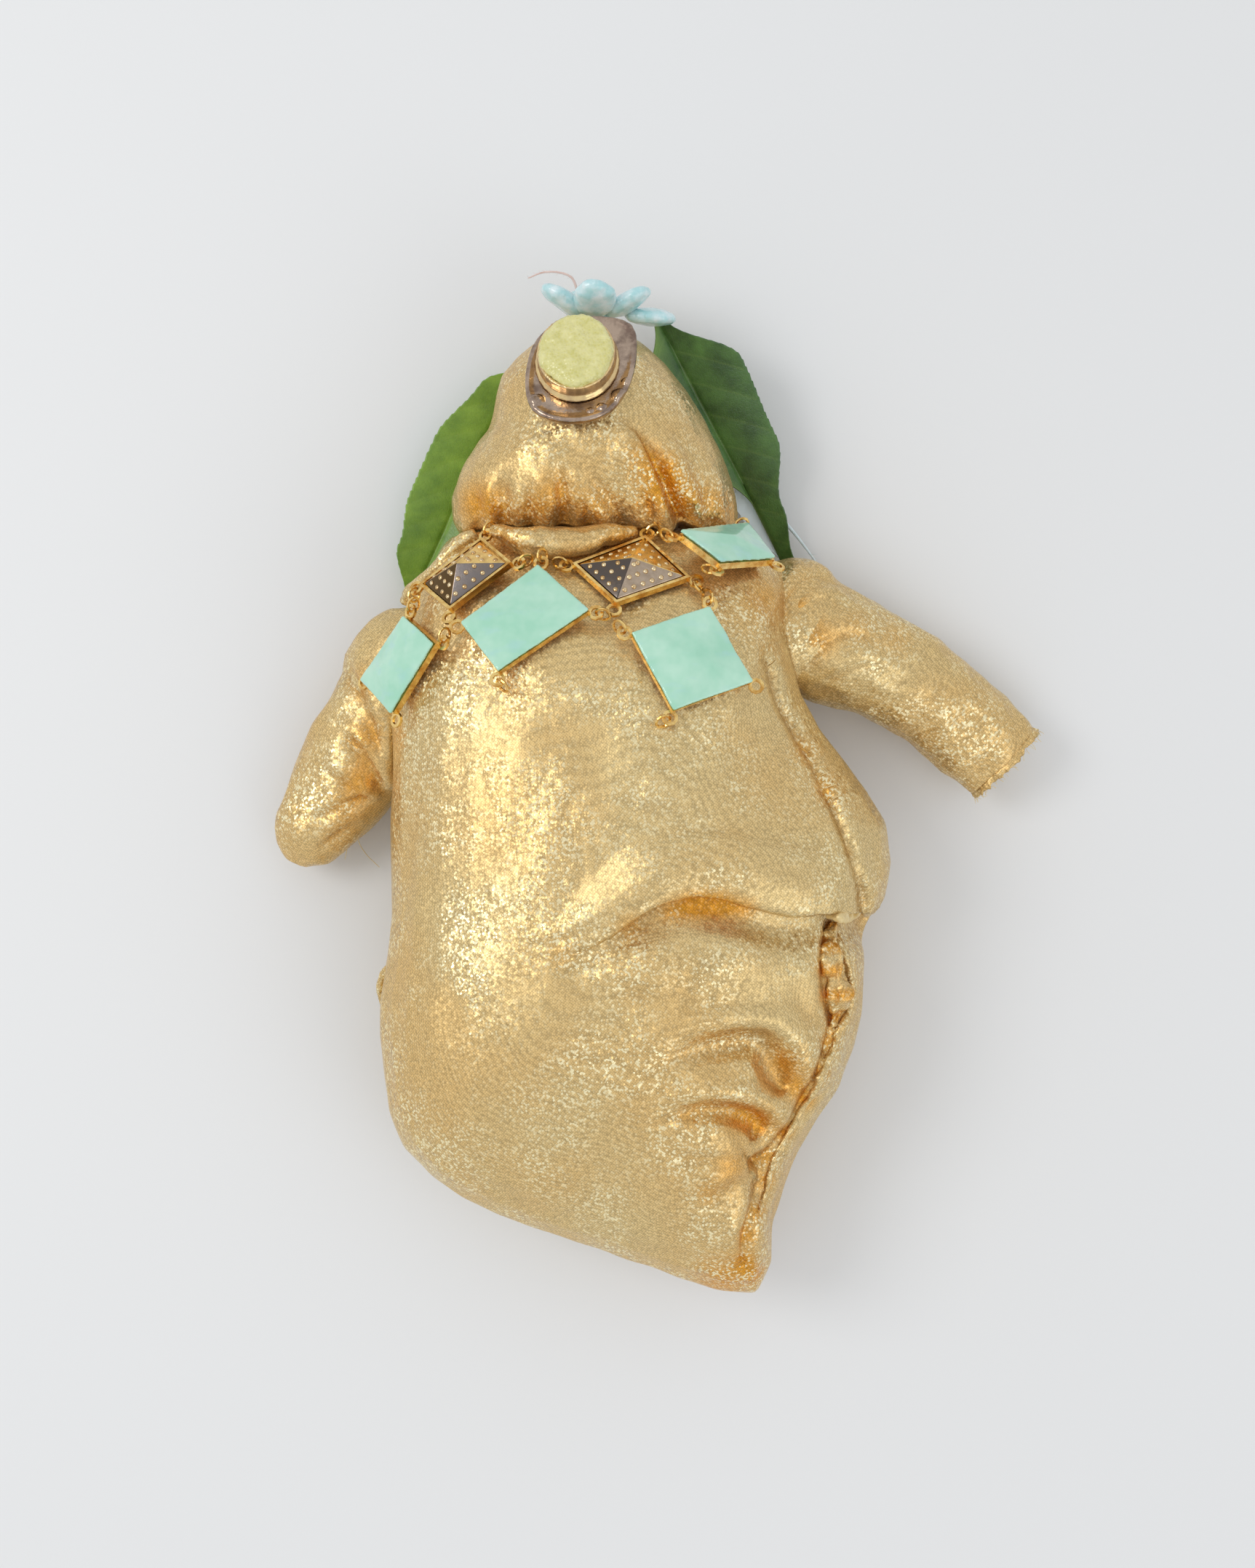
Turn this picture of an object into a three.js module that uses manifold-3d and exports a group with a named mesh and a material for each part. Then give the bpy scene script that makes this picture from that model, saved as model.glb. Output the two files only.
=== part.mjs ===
// An art doll of gold lamé cloth, lying on its back: a stuffed body bag, a gathered head, two stub arms,
// a piece of bib necklace, a brooch, a flower and two leaves. Millimetres. X points to the right of the
// picture, Y to the top of the head, Z up from the table. The origin is on the table, under the middle
// of the box that the doll fills.

import * as THREE from 'three';
import { mergeVertices } from 'three/addons/utils/BufferGeometryUtils.js';
import Module from 'manifold-3d';

const wasm = await Module();
wasm.setup();

// Fits
const fit = 0.3; // between pieces that touch
const swingRoom = 0.5; // round an arm's root, which turns in its armhole

// Torso bag: the seam lies at one height, and the cloth swells in front of it and behind it
const torsoSeam = 26;
const torsoSwell = 35;
const torsoBack = 26.5;
const torsoMiddle = [-4, -28];
const torsoFullness = 2.4;
const torsoOutline = [
  [-46, 66], [-58.4, 50], [-63.5, 38], [-64.9, 8], [-65.6, -36], [-68, -62], [-63, -88.6], [-47.4, -102.8],
  [-11, -116.3], [14, -124.8], [27.4, -125], [29.7, -107], [37.4, -87.6], [46.2, -74.5], [50.8, -60],
  [52.2, -42], [54.4, -31.5], [58.3, -21], [57.6, -10.4], [53.2, -2], [37.8, 17], [32, 37], [31.5, 54.5],
  [19.6, 64],
];
// The main folds of the belly run in from the side seam: cloth swells above each line and sinks below it,
// by a share of the full amount that grows from the fold's soft end
const bellyFolds = [
  {
    line: [
      [-25, -41], [-14, -36.2], [-3.2, -28.8], [8, -25.3], [20, -27.2], [32.4, -30.1], [45, -30.2], [56, -31],
    ],
    share: [0.1, 0.5, 0.9, 1, 1, 1, 1, 1], swell: 2.1, swellWidth: 10, sink: 4.1, sinkWidth: 5.4,
  },
  {
    line: [[-8, -65], [4.7, -60], [14.9, -58.1], [26.3, -58.2], [32, -66.7], [34.1, -73.5]],
    share: [0.1, 0.6, 1, 1, 1, 0.8], swell: 1.3, swellWidth: 6, sink: 2.4, sinkWidth: 4.6,
  },
  {
    line: [[-8, -78], [4.8, -75], [14.1, -73.7], [23.8, -76.6], [28.5, -82]],
    share: [0.1, 0.6, 1, 1, 0.8], swell: 1, swellWidth: 4.4, sink: 2.2, sinkWidth: 3.6,
  },
];
const foldBulk = 5; // half depth of the oval that makes or cuts one side of a fold
const neckLine = 62; // the crease between head and body
const neckPinch = 0.78; // how much of the swell is left where the chest runs into the crease
const pinchLength = 24;

// Head bag
const headSeam = 22.4;
const headSwell = 26;
const headBack = 22;
const headMiddle = [-16.5, 84];
const headFullness = 2.3;
const headOutline = [
  [-8.9, 113.6], [-17.8, 115], [-27, 112.2], [-37.4, 102.9], [-41, 89.4], [-46.4, 80.7], [-51, 71],
  [-49, 62], [-40, 56.5], [-16, 55.8], [14, 56.2], [20.4, 60.5], [19.8, 75.3], [12.2, 91.5], [2, 105.6],
];

// Arms: where each turns, how it lies, and its half width and half depth along its length
const armLeft = {
  pivot: [-61, 27.5, 17.5], rootRadius: 17.5, rootDepth: 13.2, lowered: 10,
  stations: [
    { at: [-61, 27.5, 17.5], wide: 14.6, deep: 12.6 },
    { at: [-67.2, 17.4, 16], wide: 15.4, deep: 12.4 },
    { at: [-74.2, 7.4, 14.5], wide: 14.8, deep: 11.8 },
    { at: [-81.2, -3, 13], wide: 12.6, deep: 10.2 },
    { at: [-87.4, -12.2, 12], wide: 10.4, deep: 8.4 },
    { at: [-90, -17.4, 11.6], wide: 7.4, deep: 6 },
    { at: [-91.4, -20.6, 11.5], wide: 3, deep: 2.6 },
  ],
};
const armRight = {
  pivot: [34.5, 40.2, 19], rootRadius: 16.4, rootDepth: 14, lowered: 8,
  stations: [
    { at: [34.5, 40.2, 19], wide: 15.6, deep: 13.6 },
    { at: [46.6, 34.6, 17.5], wide: 15.2, deep: 13.2 },
    { at: [58.8, 29.3, 15.5], wide: 13.5, deep: 12.4 },
    { at: [70.5, 22.1, 14], wide: 12.6, deep: 11.4 },
    { at: [81.8, 12.8, 12.6], wide: 12.8, deep: 9.6 },
    { at: [89.6, 5.4, 12], wide: 11.3, deep: 7.2 },
  ],
};

// Cloth roll under the chin: its middle line with its half height and half depth
const neckRoll = [
  { at: [-38.2, 60.9, 41.5], wide: 0.6, deep: 2 },
  { at: [-34.4, 59.2, 43.2], wide: 2, deep: 3.6 },
  { at: [-29, 57.8, 44.2], wide: 3.5, deep: 4.4 },
  { at: [-21, 57.8, 44.2], wide: 3.4, deep: 4.4 },
  { at: [-12.5, 59.6, 43.6], wide: 1.7, deep: 3.6 },
  { at: [-5, 60.9, 42.2], wide: 0.6, deep: 2 },
];

// Necklace: a tile is a tray with a rim and a loop at each corner, and a face that sits in the tray
const trayFloor = 0.7;
const rimHeight = 1.7;
const rimWidth = 0.7;
const loopHole = 1.15; // radius
const loopWall = 0.75;
const loopThickness = 0.7;
const loopReach = 1.35; // from the tray's corner to the middle of the hole
const enamelOverhang = 0.1; // the enamel is poured over the rim
const enamelSide = 0.8; // how high it stands on the rim before it slopes
const enamelPeak = 2.9; // over the rim
const stampedPeak = 4.2;
const dotRadius = 0.58;
const dotHeight = 0.4;
const dotPitch = 2.6;
const wireRadius = 0.35; // jump rings
const ringRadius = 1.75; // to the middle of the wire
const ringRoom = 0.9; // under a tile, for the wire of its rings

// Each tile's corners as it lies on the doll, seen from above, starting at the one nearest the head
const tiles = {
  shoulder_tile_left: { corners: [[-58.7, 40.2], [-50.7, 33], [-61.8, 16.8], [-70.2, 25.4]], enamel: true },
  chest_tile_left: { corners: [[-27.4, 51], [-15.3, 39.8], [-36.3, 25.4], [-45.4, 37.1]], enamel: true },
  chest_tile_right: { corners: [[12.2, 41.2], [22.1, 23.4], [3.5, 16.5], [-6.2, 34.6]], enamel: true },
  shoulder_tile_right: {
    corners: [[22, 62.2, 24.8], [28, 52.6, 34.7], [14.4, 50.4, 46.5], [5.2, 58.2, 41]], enamel: true,
  },
  collar_tile_left: { corners: [[-41, 58.6], [-33.4, 51.7], [-48.2, 40.5], [-56.2, 47.4]], enamel: false },
  collar_tile_right: { corners: [[-2.4, 58.9], [8.2, 48.2], [-9.4, 41.6], [-19.8, 51.6]], enamel: false },
};

// Brooch on the upper front of the head
const broochPlace = [-17.6, 96.8];
const plateThickness = 1.3;
const plateOutline = [
  [-13.2, -3.5], [-11, -11], [-3.5, -14.3], [5.6, -12.8], [11.2, -5.6], [13.4, 5], [12.4, 10.8],
  [6, 13.2], [-4, 12.8], [-11, 7.5],
];
const stoneRadius = 8.7;
const stoneHeight = 4.8;
const bezelWall = 0.8;
const bezelHeight = 4.4;
const bezelFlange = 0.9;
const bezelShift = [-0.8, 1.2];
const stoneStretch = 1.12;

// Flower on the crown
const flowerPlace = [-14.6, 116.5, 27.3];
const flowerLean = 0.2; // radians from +Y towards +Z
const petalLength = 12;
const petalWidth = 9.5;
const petalThickness = 3.2;
// Round the button from +X, away from the table last; each rises out of the flower's plane
const petals = [
  { degrees: 200, rise: 0.58, out: 0 },
  { degrees: 270, rise: 0.62, out: 0 },
  { degrees: 339, rise: 0.5, out: 0.1 },
  { degrees: 8, rise: -0.1, out: 4.5 },
  { degrees: 105, rise: 0.5, out: 0 },
];
const buttonRadius = 3;
const threadRadius = 0.35;
const threadPath = [
  [-18.35, 118.9, 31.2], [-19.15, 121.6, 32.6], [-20.4, 124.2, 33],
  [-23.4, 125.4, 33], [-27.4, 125.4, 33], [-31, 124, 33],
];

// Leaves hang from the crown behind the head: the midrib's points, the half width at each, and the fold
const leafThickness = 0.8;
const leafLeft = {
  midrib: [
    [-30, 106, 13], [-38, 98, 9.5], [-46.5, 84, 7.5], [-52, 70, 6.5], [-57.5, 58, 5.5], [-63.5, 46.5, 4],
  ],
  halfWidths: [1.1, 8.2, 11.6, 12.4, 9.6, 1.4], fold: 0.3,
};
const leafRight = {
  midrib: [[0.8, 117.5, 19], [9.5, 101.6, 14], [19.6, 83.2, 11], [27.5, 68.7, 8], [33, 58, 5], [36.5, 49, 3]],
  halfWidths: [1.6, 15.4, 14.6, 9, 5.4, 0.9], fold: 0.42,
};

// Feather behind the right leaf
const vaneThickness = 0.7;
const vane = {
  midrib: [[21, 80.5, 7.1], [25.2, 73, 6.1], [29.2, 65.5, 5.1], [32.6, 59, 4.1]],
  halfWidths: [0.6, 4.5, 4, 0.4], fold: 0.1,
};
const quillRadius = 0.45;
const quillPath = [[33.4, 68.6, 5.3], [36.4, 65.3, 4.7], [39.4, 61.6, 4], [42.4, 57.6, 3.4]];

// Materials
function finish(color, roughness, metalness = 0) {
  return new THREE.MeshStandardMaterial({ color, roughness, metalness });
}
const lame = finish(0xcfb478, 0.42, 0.5);
const goldMetal = finish(0xc99a4a, 0.25, 1);
const enamel = finish(0xa9dccb, 0.15);
const gunmetal = finish(0x5d554d, 0.25, 1);
const bronze = finish(0x8f7761, 0.35, 1);
const stone = finish(0xccd183, 0.5);
const petalGlaze = finish(0xafe0dd, 0.3);
const leafGreen = finish(0x4f7f36, 0.5);
const shellWhite = finish(0xd9e4e6, 0.5);
const threadPink = finish(0xd9bfae, 0.8);

const doll = new THREE.Group();

function addPiece(name, geometry, material, parent = doll) {
  const piece = new THREE.Mesh(geometry, material);
  piece.name = name;
  parent.add(piece);
  return piece;
}

// Solids for cutting and joining, and back to a geometry
function solidOf(geometry) {
  const bare = geometry.clone();
  bare.deleteAttribute('normal');
  bare.deleteAttribute('uv');
  const merged = mergeVertices(bare, 1e-4);
  return new wasm.Manifold(new wasm.Mesh({
    numProp: 3,
    vertProperties: new Float32Array(merged.attributes.position.array),
    triVerts: new Uint32Array(merged.index.array),
  }));
}

function geometryOf(solid) {
  const mesh = solid.getMesh();
  const geometry = new THREE.BufferGeometry();
  geometry.setAttribute('position', new THREE.BufferAttribute(mesh.vertProperties, 3));
  geometry.setIndex(new THREE.BufferAttribute(mesh.triVerts, 1));
  geometry.computeVertexNormals();
  return geometry;
}

// The biggest body of a solid that cutting has parted
function largestBody(solid) {
  const bodies = solid.decompose();
  return bodies.reduce((best, body) => (body.volume() > best.volume() ? body : best));
}

function meshGeometry(points, faces) {
  const geometry = new THREE.BufferGeometry();
  geometry.setAttribute('position', new THREE.Float32BufferAttribute(points.flat(), 3));
  geometry.setIndex(faces.flat());
  return geometry;
}

// A sewn bag: rings of points close in from the seam to a pole on the front cloth and one on the back
function bagGeometry(bag, grow = 0) {
  const { outline, middle, seam, front, back, fullness, turns, rings } = bag;
  const seamLine = new THREE.CatmullRomCurve3(
    outline.map(([x, y]) => new THREE.Vector3(x, y, 0)), true, 'centripetal',
  ).getSpacedPoints(turns).slice(0, turns);
  const points = [];
  const faces = [];
  const ringPoint = (edge, inward, side) => {
    const reach = Math.hypot(edge.x - middle[0], edge.y - middle[1]);
    const scale = inward * (1 + grow / reach);
    const x = middle[0] + (edge.x - middle[0]) * scale;
    const y = middle[1] + (edge.y - middle[1]) * scale;
    const swell = Math.sqrt(1 - inward ** fullness);
    const height = side > 0 ? front(x, y) + grow : -(back + grow);
    return [x, y, seam + height * swell];
  };
  const addRing = (inward, side) => seamLine.map((edge) => points.push(ringPoint(edge, inward, side)) - 1);
  const rim = addRing(1, 1);
  for (const side of [1, -1]) {
    let outer = rim;
    for (let ring = 1; ring < rings; ring += 1) {
      const inner = addRing(Math.cos((ring / rings) * Math.PI / 2), side);
      outer.forEach((a, i) => {
        const next = (i + 1) % turns;
        const quad = [a, outer[next], inner[next], inner[i]];
        const [p, q, r, s] = side > 0 ? quad : [quad[1], quad[0], quad[3], quad[2]];
        faces.push([p, q, r], [p, r, s]);
      });
      outer = inner;
    }
    const pole = points.push(ringPoint({ x: middle[0] + 1, y: middle[1] }, 0, side)) - 1;
    outer.forEach((a, i) => {
      const b = outer[(i + 1) % turns];
      faces.push(side > 0 ? [a, b, pole] : [b, a, pole]);
    });
  }
  return meshGeometry(points, faces);
}

// A smooth curve through points
function curveThrough(points) {
  return new THREE.CatmullRomCurve3(points.map((p) => new THREE.Vector3(...p)), false, 'centripetal');
}

// A size between those given at even steps along a line, easing from one to the next
function sizeAlong(sizes, t) {
  const place = t * (sizes.length - 1);
  const i = Math.min(Math.floor(place), sizes.length - 2);
  const blend = (1 - Math.cos((place - i) * Math.PI)) / 2;
  return sizes[i] * (1 - blend) + sizes[i + 1] * blend;
}

// A stuffed limb or roll: oval sections square to its line, flat at both ends
function limbGeometry(stations, sides, stepsBetween, grow = 0) {
  const line = curveThrough(stations.map((s) => s.at));
  const count = (stations.length - 1) * stepsBetween;
  const size = (key, t) => sizeAlong(stations.map((s) => s[key]), t) + grow;
  const points = [];
  const faces = [];
  for (let step = 0; step <= count; step += 1) {
    const t = step / count;
    const middle = line.getPoint(t);
    const along = line.getTangent(t);
    const across = new THREE.Vector3(0, 0, 1).cross(along).normalize();
    const up = along.clone().cross(across);
    for (let side = 0; side < sides; side += 1) {
      const turn = (side / sides) * Math.PI * 2;
      const p = middle.clone()
        .addScaledVector(across, size('wide', t) * Math.cos(turn))
        .addScaledVector(up, size('deep', t) * Math.sin(turn));
      points.push(p.toArray());
    }
  }
  const start = points.push(line.getPoint(0).toArray()) - 1;
  const end = points.push(line.getPoint(1).toArray()) - 1;
  for (let side = 0; side < sides; side += 1) {
    const next = (side + 1) % sides;
    for (let step = 0; step < count; step += 1) {
      const a = step * sides;
      const b = a + sides;
      faces.push([a + side, a + next, b + next], [a + side, b + next, b + side]);
    }
    const last = count * sides;
    faces.push([start, next, side], [end, last + side, last + next]);
  }
  return meshGeometry(points, faces);
}

// A thin folded blade: leaves and the feather's vane
function bladeGeometry({ midrib, halfWidths, fold }, thickness, steps = 12, acrossSteps = 4) {
  const line = curveThrough(midrib);
  const columns = 2 * acrossSteps + 1;
  const points = [];
  const faces = [];
  for (const side of [0.5, -0.5]) {
    for (let step = 0; step <= steps; step += 1) {
      const t = step / steps;
      const along = line.getTangent(t);
      const across = new THREE.Vector3(0, 0, 1).cross(along).normalize();
      const up = along.clone().cross(across);
      const width = sizeAlong(halfWidths, t);
      for (let column = 0; column < columns; column += 1) {
        const reach = (column / acrossSteps - 1) * width;
        const p = line.getPoint(t)
          .addScaledVector(across, reach * Math.cos(fold))
          .addScaledVector(up, Math.abs(reach) * Math.sin(fold) + side * thickness);
        points.push(p.toArray());
      }
    }
  }
  const rows = steps + 1;
  const at = (layer, row, column) => (layer * rows + row) * columns + column;
  const addQuad = (a, b, c, d) => faces.push([a, b, c], [a, c, d]);
  for (let row = 0; row < steps; row += 1) {
    for (let column = 0; column < columns - 1; column += 1) {
      addQuad(at(0, row, column), at(0, row + 1, column), at(0, row + 1, column + 1), at(0, row, column + 1));
      addQuad(at(1, row, column), at(1, row, column + 1), at(1, row + 1, column + 1), at(1, row + 1, column));
    }
    addQuad(at(1, row, 0), at(1, row + 1, 0), at(0, row + 1, 0), at(0, row, 0));
    const edge = columns - 1;
    addQuad(at(0, row, edge), at(0, row + 1, edge), at(1, row + 1, edge), at(1, row, edge));
  }
  for (let column = 0; column < columns - 1; column += 1) {
    addQuad(at(0, 0, column), at(0, 0, column + 1), at(1, 0, column + 1), at(1, 0, column));
    addQuad(at(1, steps, column), at(1, steps, column + 1), at(0, steps, column + 1), at(0, steps, column));
  }
  return meshGeometry(points, faces);
}

// A round wire or thread along a list of points
function wireGeometry(path, radius, steps, sides = 6) {
  const section = new THREE.Shape();
  for (let side = 0; side < sides; side += 1) {
    const turn = (side / sides) * Math.PI * 2;
    const [x, y] = [radius * Math.cos(turn), radius * Math.sin(turn)];
    if (side === 0) section.moveTo(x, y);
    else section.lineTo(x, y);
  }
  section.closePath();
  const line = curveThrough(path);
  const options = { steps, extrudePath: line, bevelEnabled: false, curveSegments: 1 };
  return new THREE.ExtrudeGeometry(section, options);
}

// Box far larger than the doll on one side of a plane across Y or Z
const span = 600;
function halfSpace(axis, from, direction) {
  const box = new THREE.BoxGeometry(span, span, span);
  const shift = from + (direction * span) / 2;
  return solidOf(box.translate(0, axis === 'y' ? shift : 0, axis === 'z' ? shift : 0));
}

// The height of the cloth under a point, or the seam's where the point is off the cloth
const caster = new THREE.Raycaster();
const aboveAll = 500;
function clothHeight(pieces, x, y, beyond) {
  caster.set(new THREE.Vector3(x, y, aboveAll), new THREE.Vector3(0, 0, -1));
  const [hit] = caster.intersectObjects(pieces, false);
  return hit ? hit.point.z : beyond;
}

// Torso bag
const pinch = (y) => {
  const near = THREE.MathUtils.clamp((y - (neckLine - pinchLength)) / pinchLength, 0, 1);
  return 1 - (1 - neckPinch) * near * near;
};
const torsoBag = {
  outline: torsoOutline, middle: torsoMiddle, seam: torsoSeam, front: (x, y) => torsoSwell * pinch(y),
  back: torsoBack, fullness: torsoFullness, turns: 56, rings: 9,
};
const headBag = {
  outline: headOutline, middle: headMiddle, seam: headSeam, front: () => headSwell,
  back: headBack, fullness: headFullness, turns: 44, rings: 8,
};

// An arm's root is round about the upright line through its pivot, so that it turns in the armhole
const armSides = 16;
function armRoot(arm, grow = 0) {
  const root = new THREE.SphereGeometry(1, 20, 10).rotateX(Math.PI / 2);
  root.scale(arm.rootRadius + grow, arm.rootRadius + grow, arm.rootDepth + grow);
  return solidOf(root.translate(...arm.pivot));
}
function armSolid(arm) {
  return armRoot(arm).add(solidOf(limbGeometry(arm.stations, armSides, 2)));
}

// One side of a fold: an oval limb beside its line, above the cloth or sunk into it
const plainTorso = new THREE.Mesh(bagGeometry(torsoBag));
function foldSide({ line, share }, offset, width, heightOf) {
  const stations = line.map(([x, y], i) => {
    const before = line[Math.max(i - 1, 0)];
    const after = line[Math.min(i + 1, line.length - 1)];
    const along = new THREE.Vector2(after[0] - before[0], after[1] - before[1]).normalize();
    const place = [x - along.y * offset, y + along.x * offset];
    const height = clothHeight([plainTorso], ...place, torsoSeam) + heightOf(share[i]);
    return { at: [...place, height], wide: width * (0.5 + share[i] / 2), deep: foldBulk };
  });
  return solidOf(limbGeometry(stations, 8, 2));
}
// A fold stays inside the seam's outline: what swells is cut by a bag of the same outline, stuffed fuller
const fuller = 3;
const fullerTorso = solidOf(bagGeometry({ ...torsoBag, front: (x, y) => torsoSwell * pinch(y) + fuller }));
function foldInto(solid, fold) {
  const { swell, swellWidth, sink, sinkWidth } = fold;
  const swollen = foldSide(fold, swellWidth * 0.6, swellWidth, (share) => swell * share - foldBulk);
  const sunk = foldSide(fold, -sinkWidth * 0.8, sinkWidth, (share) => foldBulk - sink * share);
  return solid.add(swollen.intersect(fullerTorso)).subtract(sunk);
}

const table = halfSpace('z', 0, -1);
const wholeTorso = bellyFolds.reduce(foldInto, solidOf(bagGeometry(torsoBag))).subtract(table);
const torsoSolid = [armLeft, armRight].reduce(
  (solid, arm) => solid.subtract(armRoot(arm, swingRoom)),
  wholeTorso.subtract(halfSpace('y', neckLine, 1)),
);
const torsoClear = solidOf(bagGeometry(torsoBag, swingRoom)).subtract(halfSpace('y', neckLine, 1));

// A solid turned by some degrees about the upright line through a point
function turnedAbout(solid, [x, y], degrees) {
  return solid.translate(-x, -y, 0).rotate([0, 0, degrees]).translate(x, y, 0);
}

// The arm clears the body's flank as it lies and when it is lowered
function cutByTorso(arm) {
  const flank = [armLeft, armRight].reduce((solid, other) => solid.subtract(armRoot(other, fit)), torsoClear);
  return largestBody(armSolid(arm).subtract(flank).subtract(turnedAbout(flank, arm.pivot, arm.lowered)));
}
const torsoPiece = addPiece('torso_bag', geometryOf(largestBody(torsoSolid)), lame);
const armLeftPiece = addPiece('arm_left', geometryOf(cutByTorso(armLeft)), lame);
const armRightPiece = addPiece('arm_right', geometryOf(cutByTorso(armRight)), lame);

const rollSolid = solidOf(limbGeometry(neckRoll, 10, 2)).subtract(solidOf(bagGeometry(torsoBag, fit)));
addPiece('neck_roll', geometryOf(largestBody(rollSolid.subtract(halfSpace('y', neckLine, 1)))), lame);

// Head bag, parted from the body at the crease
const headClear = solidOf(bagGeometry(headBag, fit));
const headSolid = solidOf(bagGeometry(headBag)).subtract(halfSpace('y', neckLine + fit, -1));
const headPiece = addPiece('head_bag', geometryOf(headSolid), lame);

// A flat thing's frame on the cloth: fitted to its corners, then raised until it clears what is under it
function seatOnCloth(corners, pieces, beyond, gap) {
  const placed = corners.map(([x, y, z]) => new THREE.Vector3(x, y, z ?? clothHeight(pieces, x, y, beyond)));
  const [top, right, bottom, left] = placed;
  const normal = right.clone().sub(left).cross(top.clone().sub(bottom)).normalize();
  const middle = placed.reduce((sum, p) => sum.add(p), new THREE.Vector3()).multiplyScalar(1 / placed.length);
  const planeHeight = (x, y) => middle.z - (normal.x * (x - middle.x) + normal.y * (y - middle.y)) / normal.z;
  let lift = -Infinity;
  const checks = 8;
  for (let i = 0; i <= checks; i += 1) {
    for (let j = 0; j <= checks; j += 1) {
      const [u, v] = [i / checks, j / checks];
      const p = top.clone().lerp(right, u).lerp(left.clone().lerp(bottom, u), v);
      const clearance = (clothHeight(pieces, p.x, p.y, -Infinity) - planeHeight(p.x, p.y)) * normal.z;
      lift = Math.max(lift, clearance);
    }
  }
  middle.addScaledVector(normal, lift + gap);
  const across = new THREE.Vector3(1, 0, 0).addScaledVector(normal, -normal.x).normalize();
  const up = normal.clone().cross(across);
  const flat = placed.map((p) => {
    const z = middle.z - (normal.x * (p.x - middle.x) + normal.y * (p.y - middle.y)) / normal.z;
    const q = new THREE.Vector3(p.x, p.y, z).sub(middle);
    return new THREE.Vector2(q.dot(across), q.dot(up));
  });
  return { middle, normal, across, up, flat };
}

function seatedGroup(seat) {
  const group = new THREE.Group();
  group.position.copy(seat.middle);
  group.quaternion.setFromRotationMatrix(new THREE.Matrix4().makeBasis(seat.across, seat.up, seat.normal));
  group.updateMatrixWorld();
  doll.add(group);
  return group;
}

// A four-sided outline drawn in by the same distance on every side
function insetOutline(corners, distance) {
  const lines = corners.map((a, i) => {
    const b = corners[(i + 1) % corners.length];
    const along = b.clone().sub(a).normalize();
    const inward = new THREE.Vector2(along.y, -along.x);
    return { from: a.clone().addScaledVector(inward, distance), along };
  });
  return lines.map((line, i) => {
    const before = lines[(i + lines.length - 1) % lines.length];
    const gap = line.from.clone().sub(before.from);
    const reach = gap.cross(line.along) / before.along.cross(line.along);
    return before.from.clone().addScaledVector(before.along, reach);
  });
}

function prism(outline, from, to) {
  const shape = new THREE.Shape(outline);
  const options = { depth: to - from, bevelEnabled: false, curveSegments: 24 };
  const geometry = new THREE.ExtrudeGeometry(shape, options);
  return geometry.translate(0, 0, from);
}

// A tile's tray with its four loops
function trayGeometry(corners) {
  const centre = corners.reduce((sum, p) => sum.add(p), new THREE.Vector2()).multiplyScalar(0.25);
  const holes = corners.map((p) => p.clone().add(p.clone().sub(centre).setLength(loopReach)));
  const disc = (radius, p, from, to) => solidOf(
    new THREE.CylinderGeometry(radius, radius, to - from, 10).rotateX(Math.PI / 2)
      .translate(p.x, p.y, (from + to) / 2),
  );
  let solid = solidOf(prism(corners, 0, rimHeight));
  for (const hole of holes) solid = solid.add(disc(loopHole + loopWall, hole, 0, loopThickness));
  for (const hole of holes) solid = solid.subtract(disc(loopHole, hole, -1, rimHeight + 1));
  solid = solid.subtract(solidOf(prism(insetOutline(corners, rimWidth), trayFloor, rimHeight + 1)));
  return { geometry: geometryOf(solid), holes };
}

// A four-sided face: a low block with a hipped top
function hippedSolid(corners, from, to, peak) {
  const centre = corners.reduce((sum, p) => sum.add(p), new THREE.Vector2()).multiplyScalar(0.25);
  const points = [
    ...corners.map((p) => [p.x, p.y, from]),
    ...corners.map((p) => [p.x, p.y, to]),
    [centre.x, centre.y, peak],
  ];
  const faces = [[0, 1, 2], [0, 2, 3]];
  for (let i = 0; i < 4; i += 1) {
    const next = (i + 1) % 4;
    faces.push([i, i + 4, next + 4], [i, next + 4, next], [i + 4, 8, next + 4]);
  }
  return { solid: solidOf(meshGeometry(points, faces)), points };
}

// Raised dots in rows on each of the four slopes
function dottedSolid(corners, from, to, peak) {
  const { solid, points } = hippedSolid(corners, from, to, peak);
  const apex = new THREE.Vector3(...points[8]);
  let dotted = solid;
  for (let i = 0; i < 4; i += 1) {
    const a = new THREE.Vector3(...points[4 + i]);
    const b = new THREE.Vector3(...points[4 + ((i + 1) % 4)]);
    const along = b.clone().sub(a);
    const width = along.length();
    along.normalize();
    const normal = apex.clone().sub(a).cross(along).normalize();
    const rise = along.clone().cross(normal);
    const apexAlong = apex.clone().sub(a).dot(along);
    const height = apex.clone().sub(a).dot(rise);
    const rows = Math.floor((height - dotRadius * 2) / dotPitch);
    for (let row = 0; row < rows; row += 1) {
      const up = dotRadius * 2 + row * dotPitch;
      const share = up / height;
      const left = apexAlong * share + dotRadius * 2.2;
      const right = width - (width - apexAlong) * share - dotRadius * 2.2;
      const count = Math.max(1, Math.round((right - left) / dotPitch));
      for (let dot = 0; dot <= count; dot += 1) {
        const place = a.clone().addScaledVector(along, left + ((right - left) * dot) / count)
          .addScaledVector(rise, up);
        const bump = new THREE.ConeGeometry(dotRadius, dotHeight * 2, 5);
        bump.applyQuaternion(new THREE.Quaternion().setFromUnitVectors(new THREE.Vector3(0, 1, 0), normal));
        dotted = dotted.add(solidOf(bump.translate(place.x, place.y, place.z)));
      }
    }
  }
  return dotted;
}

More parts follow.
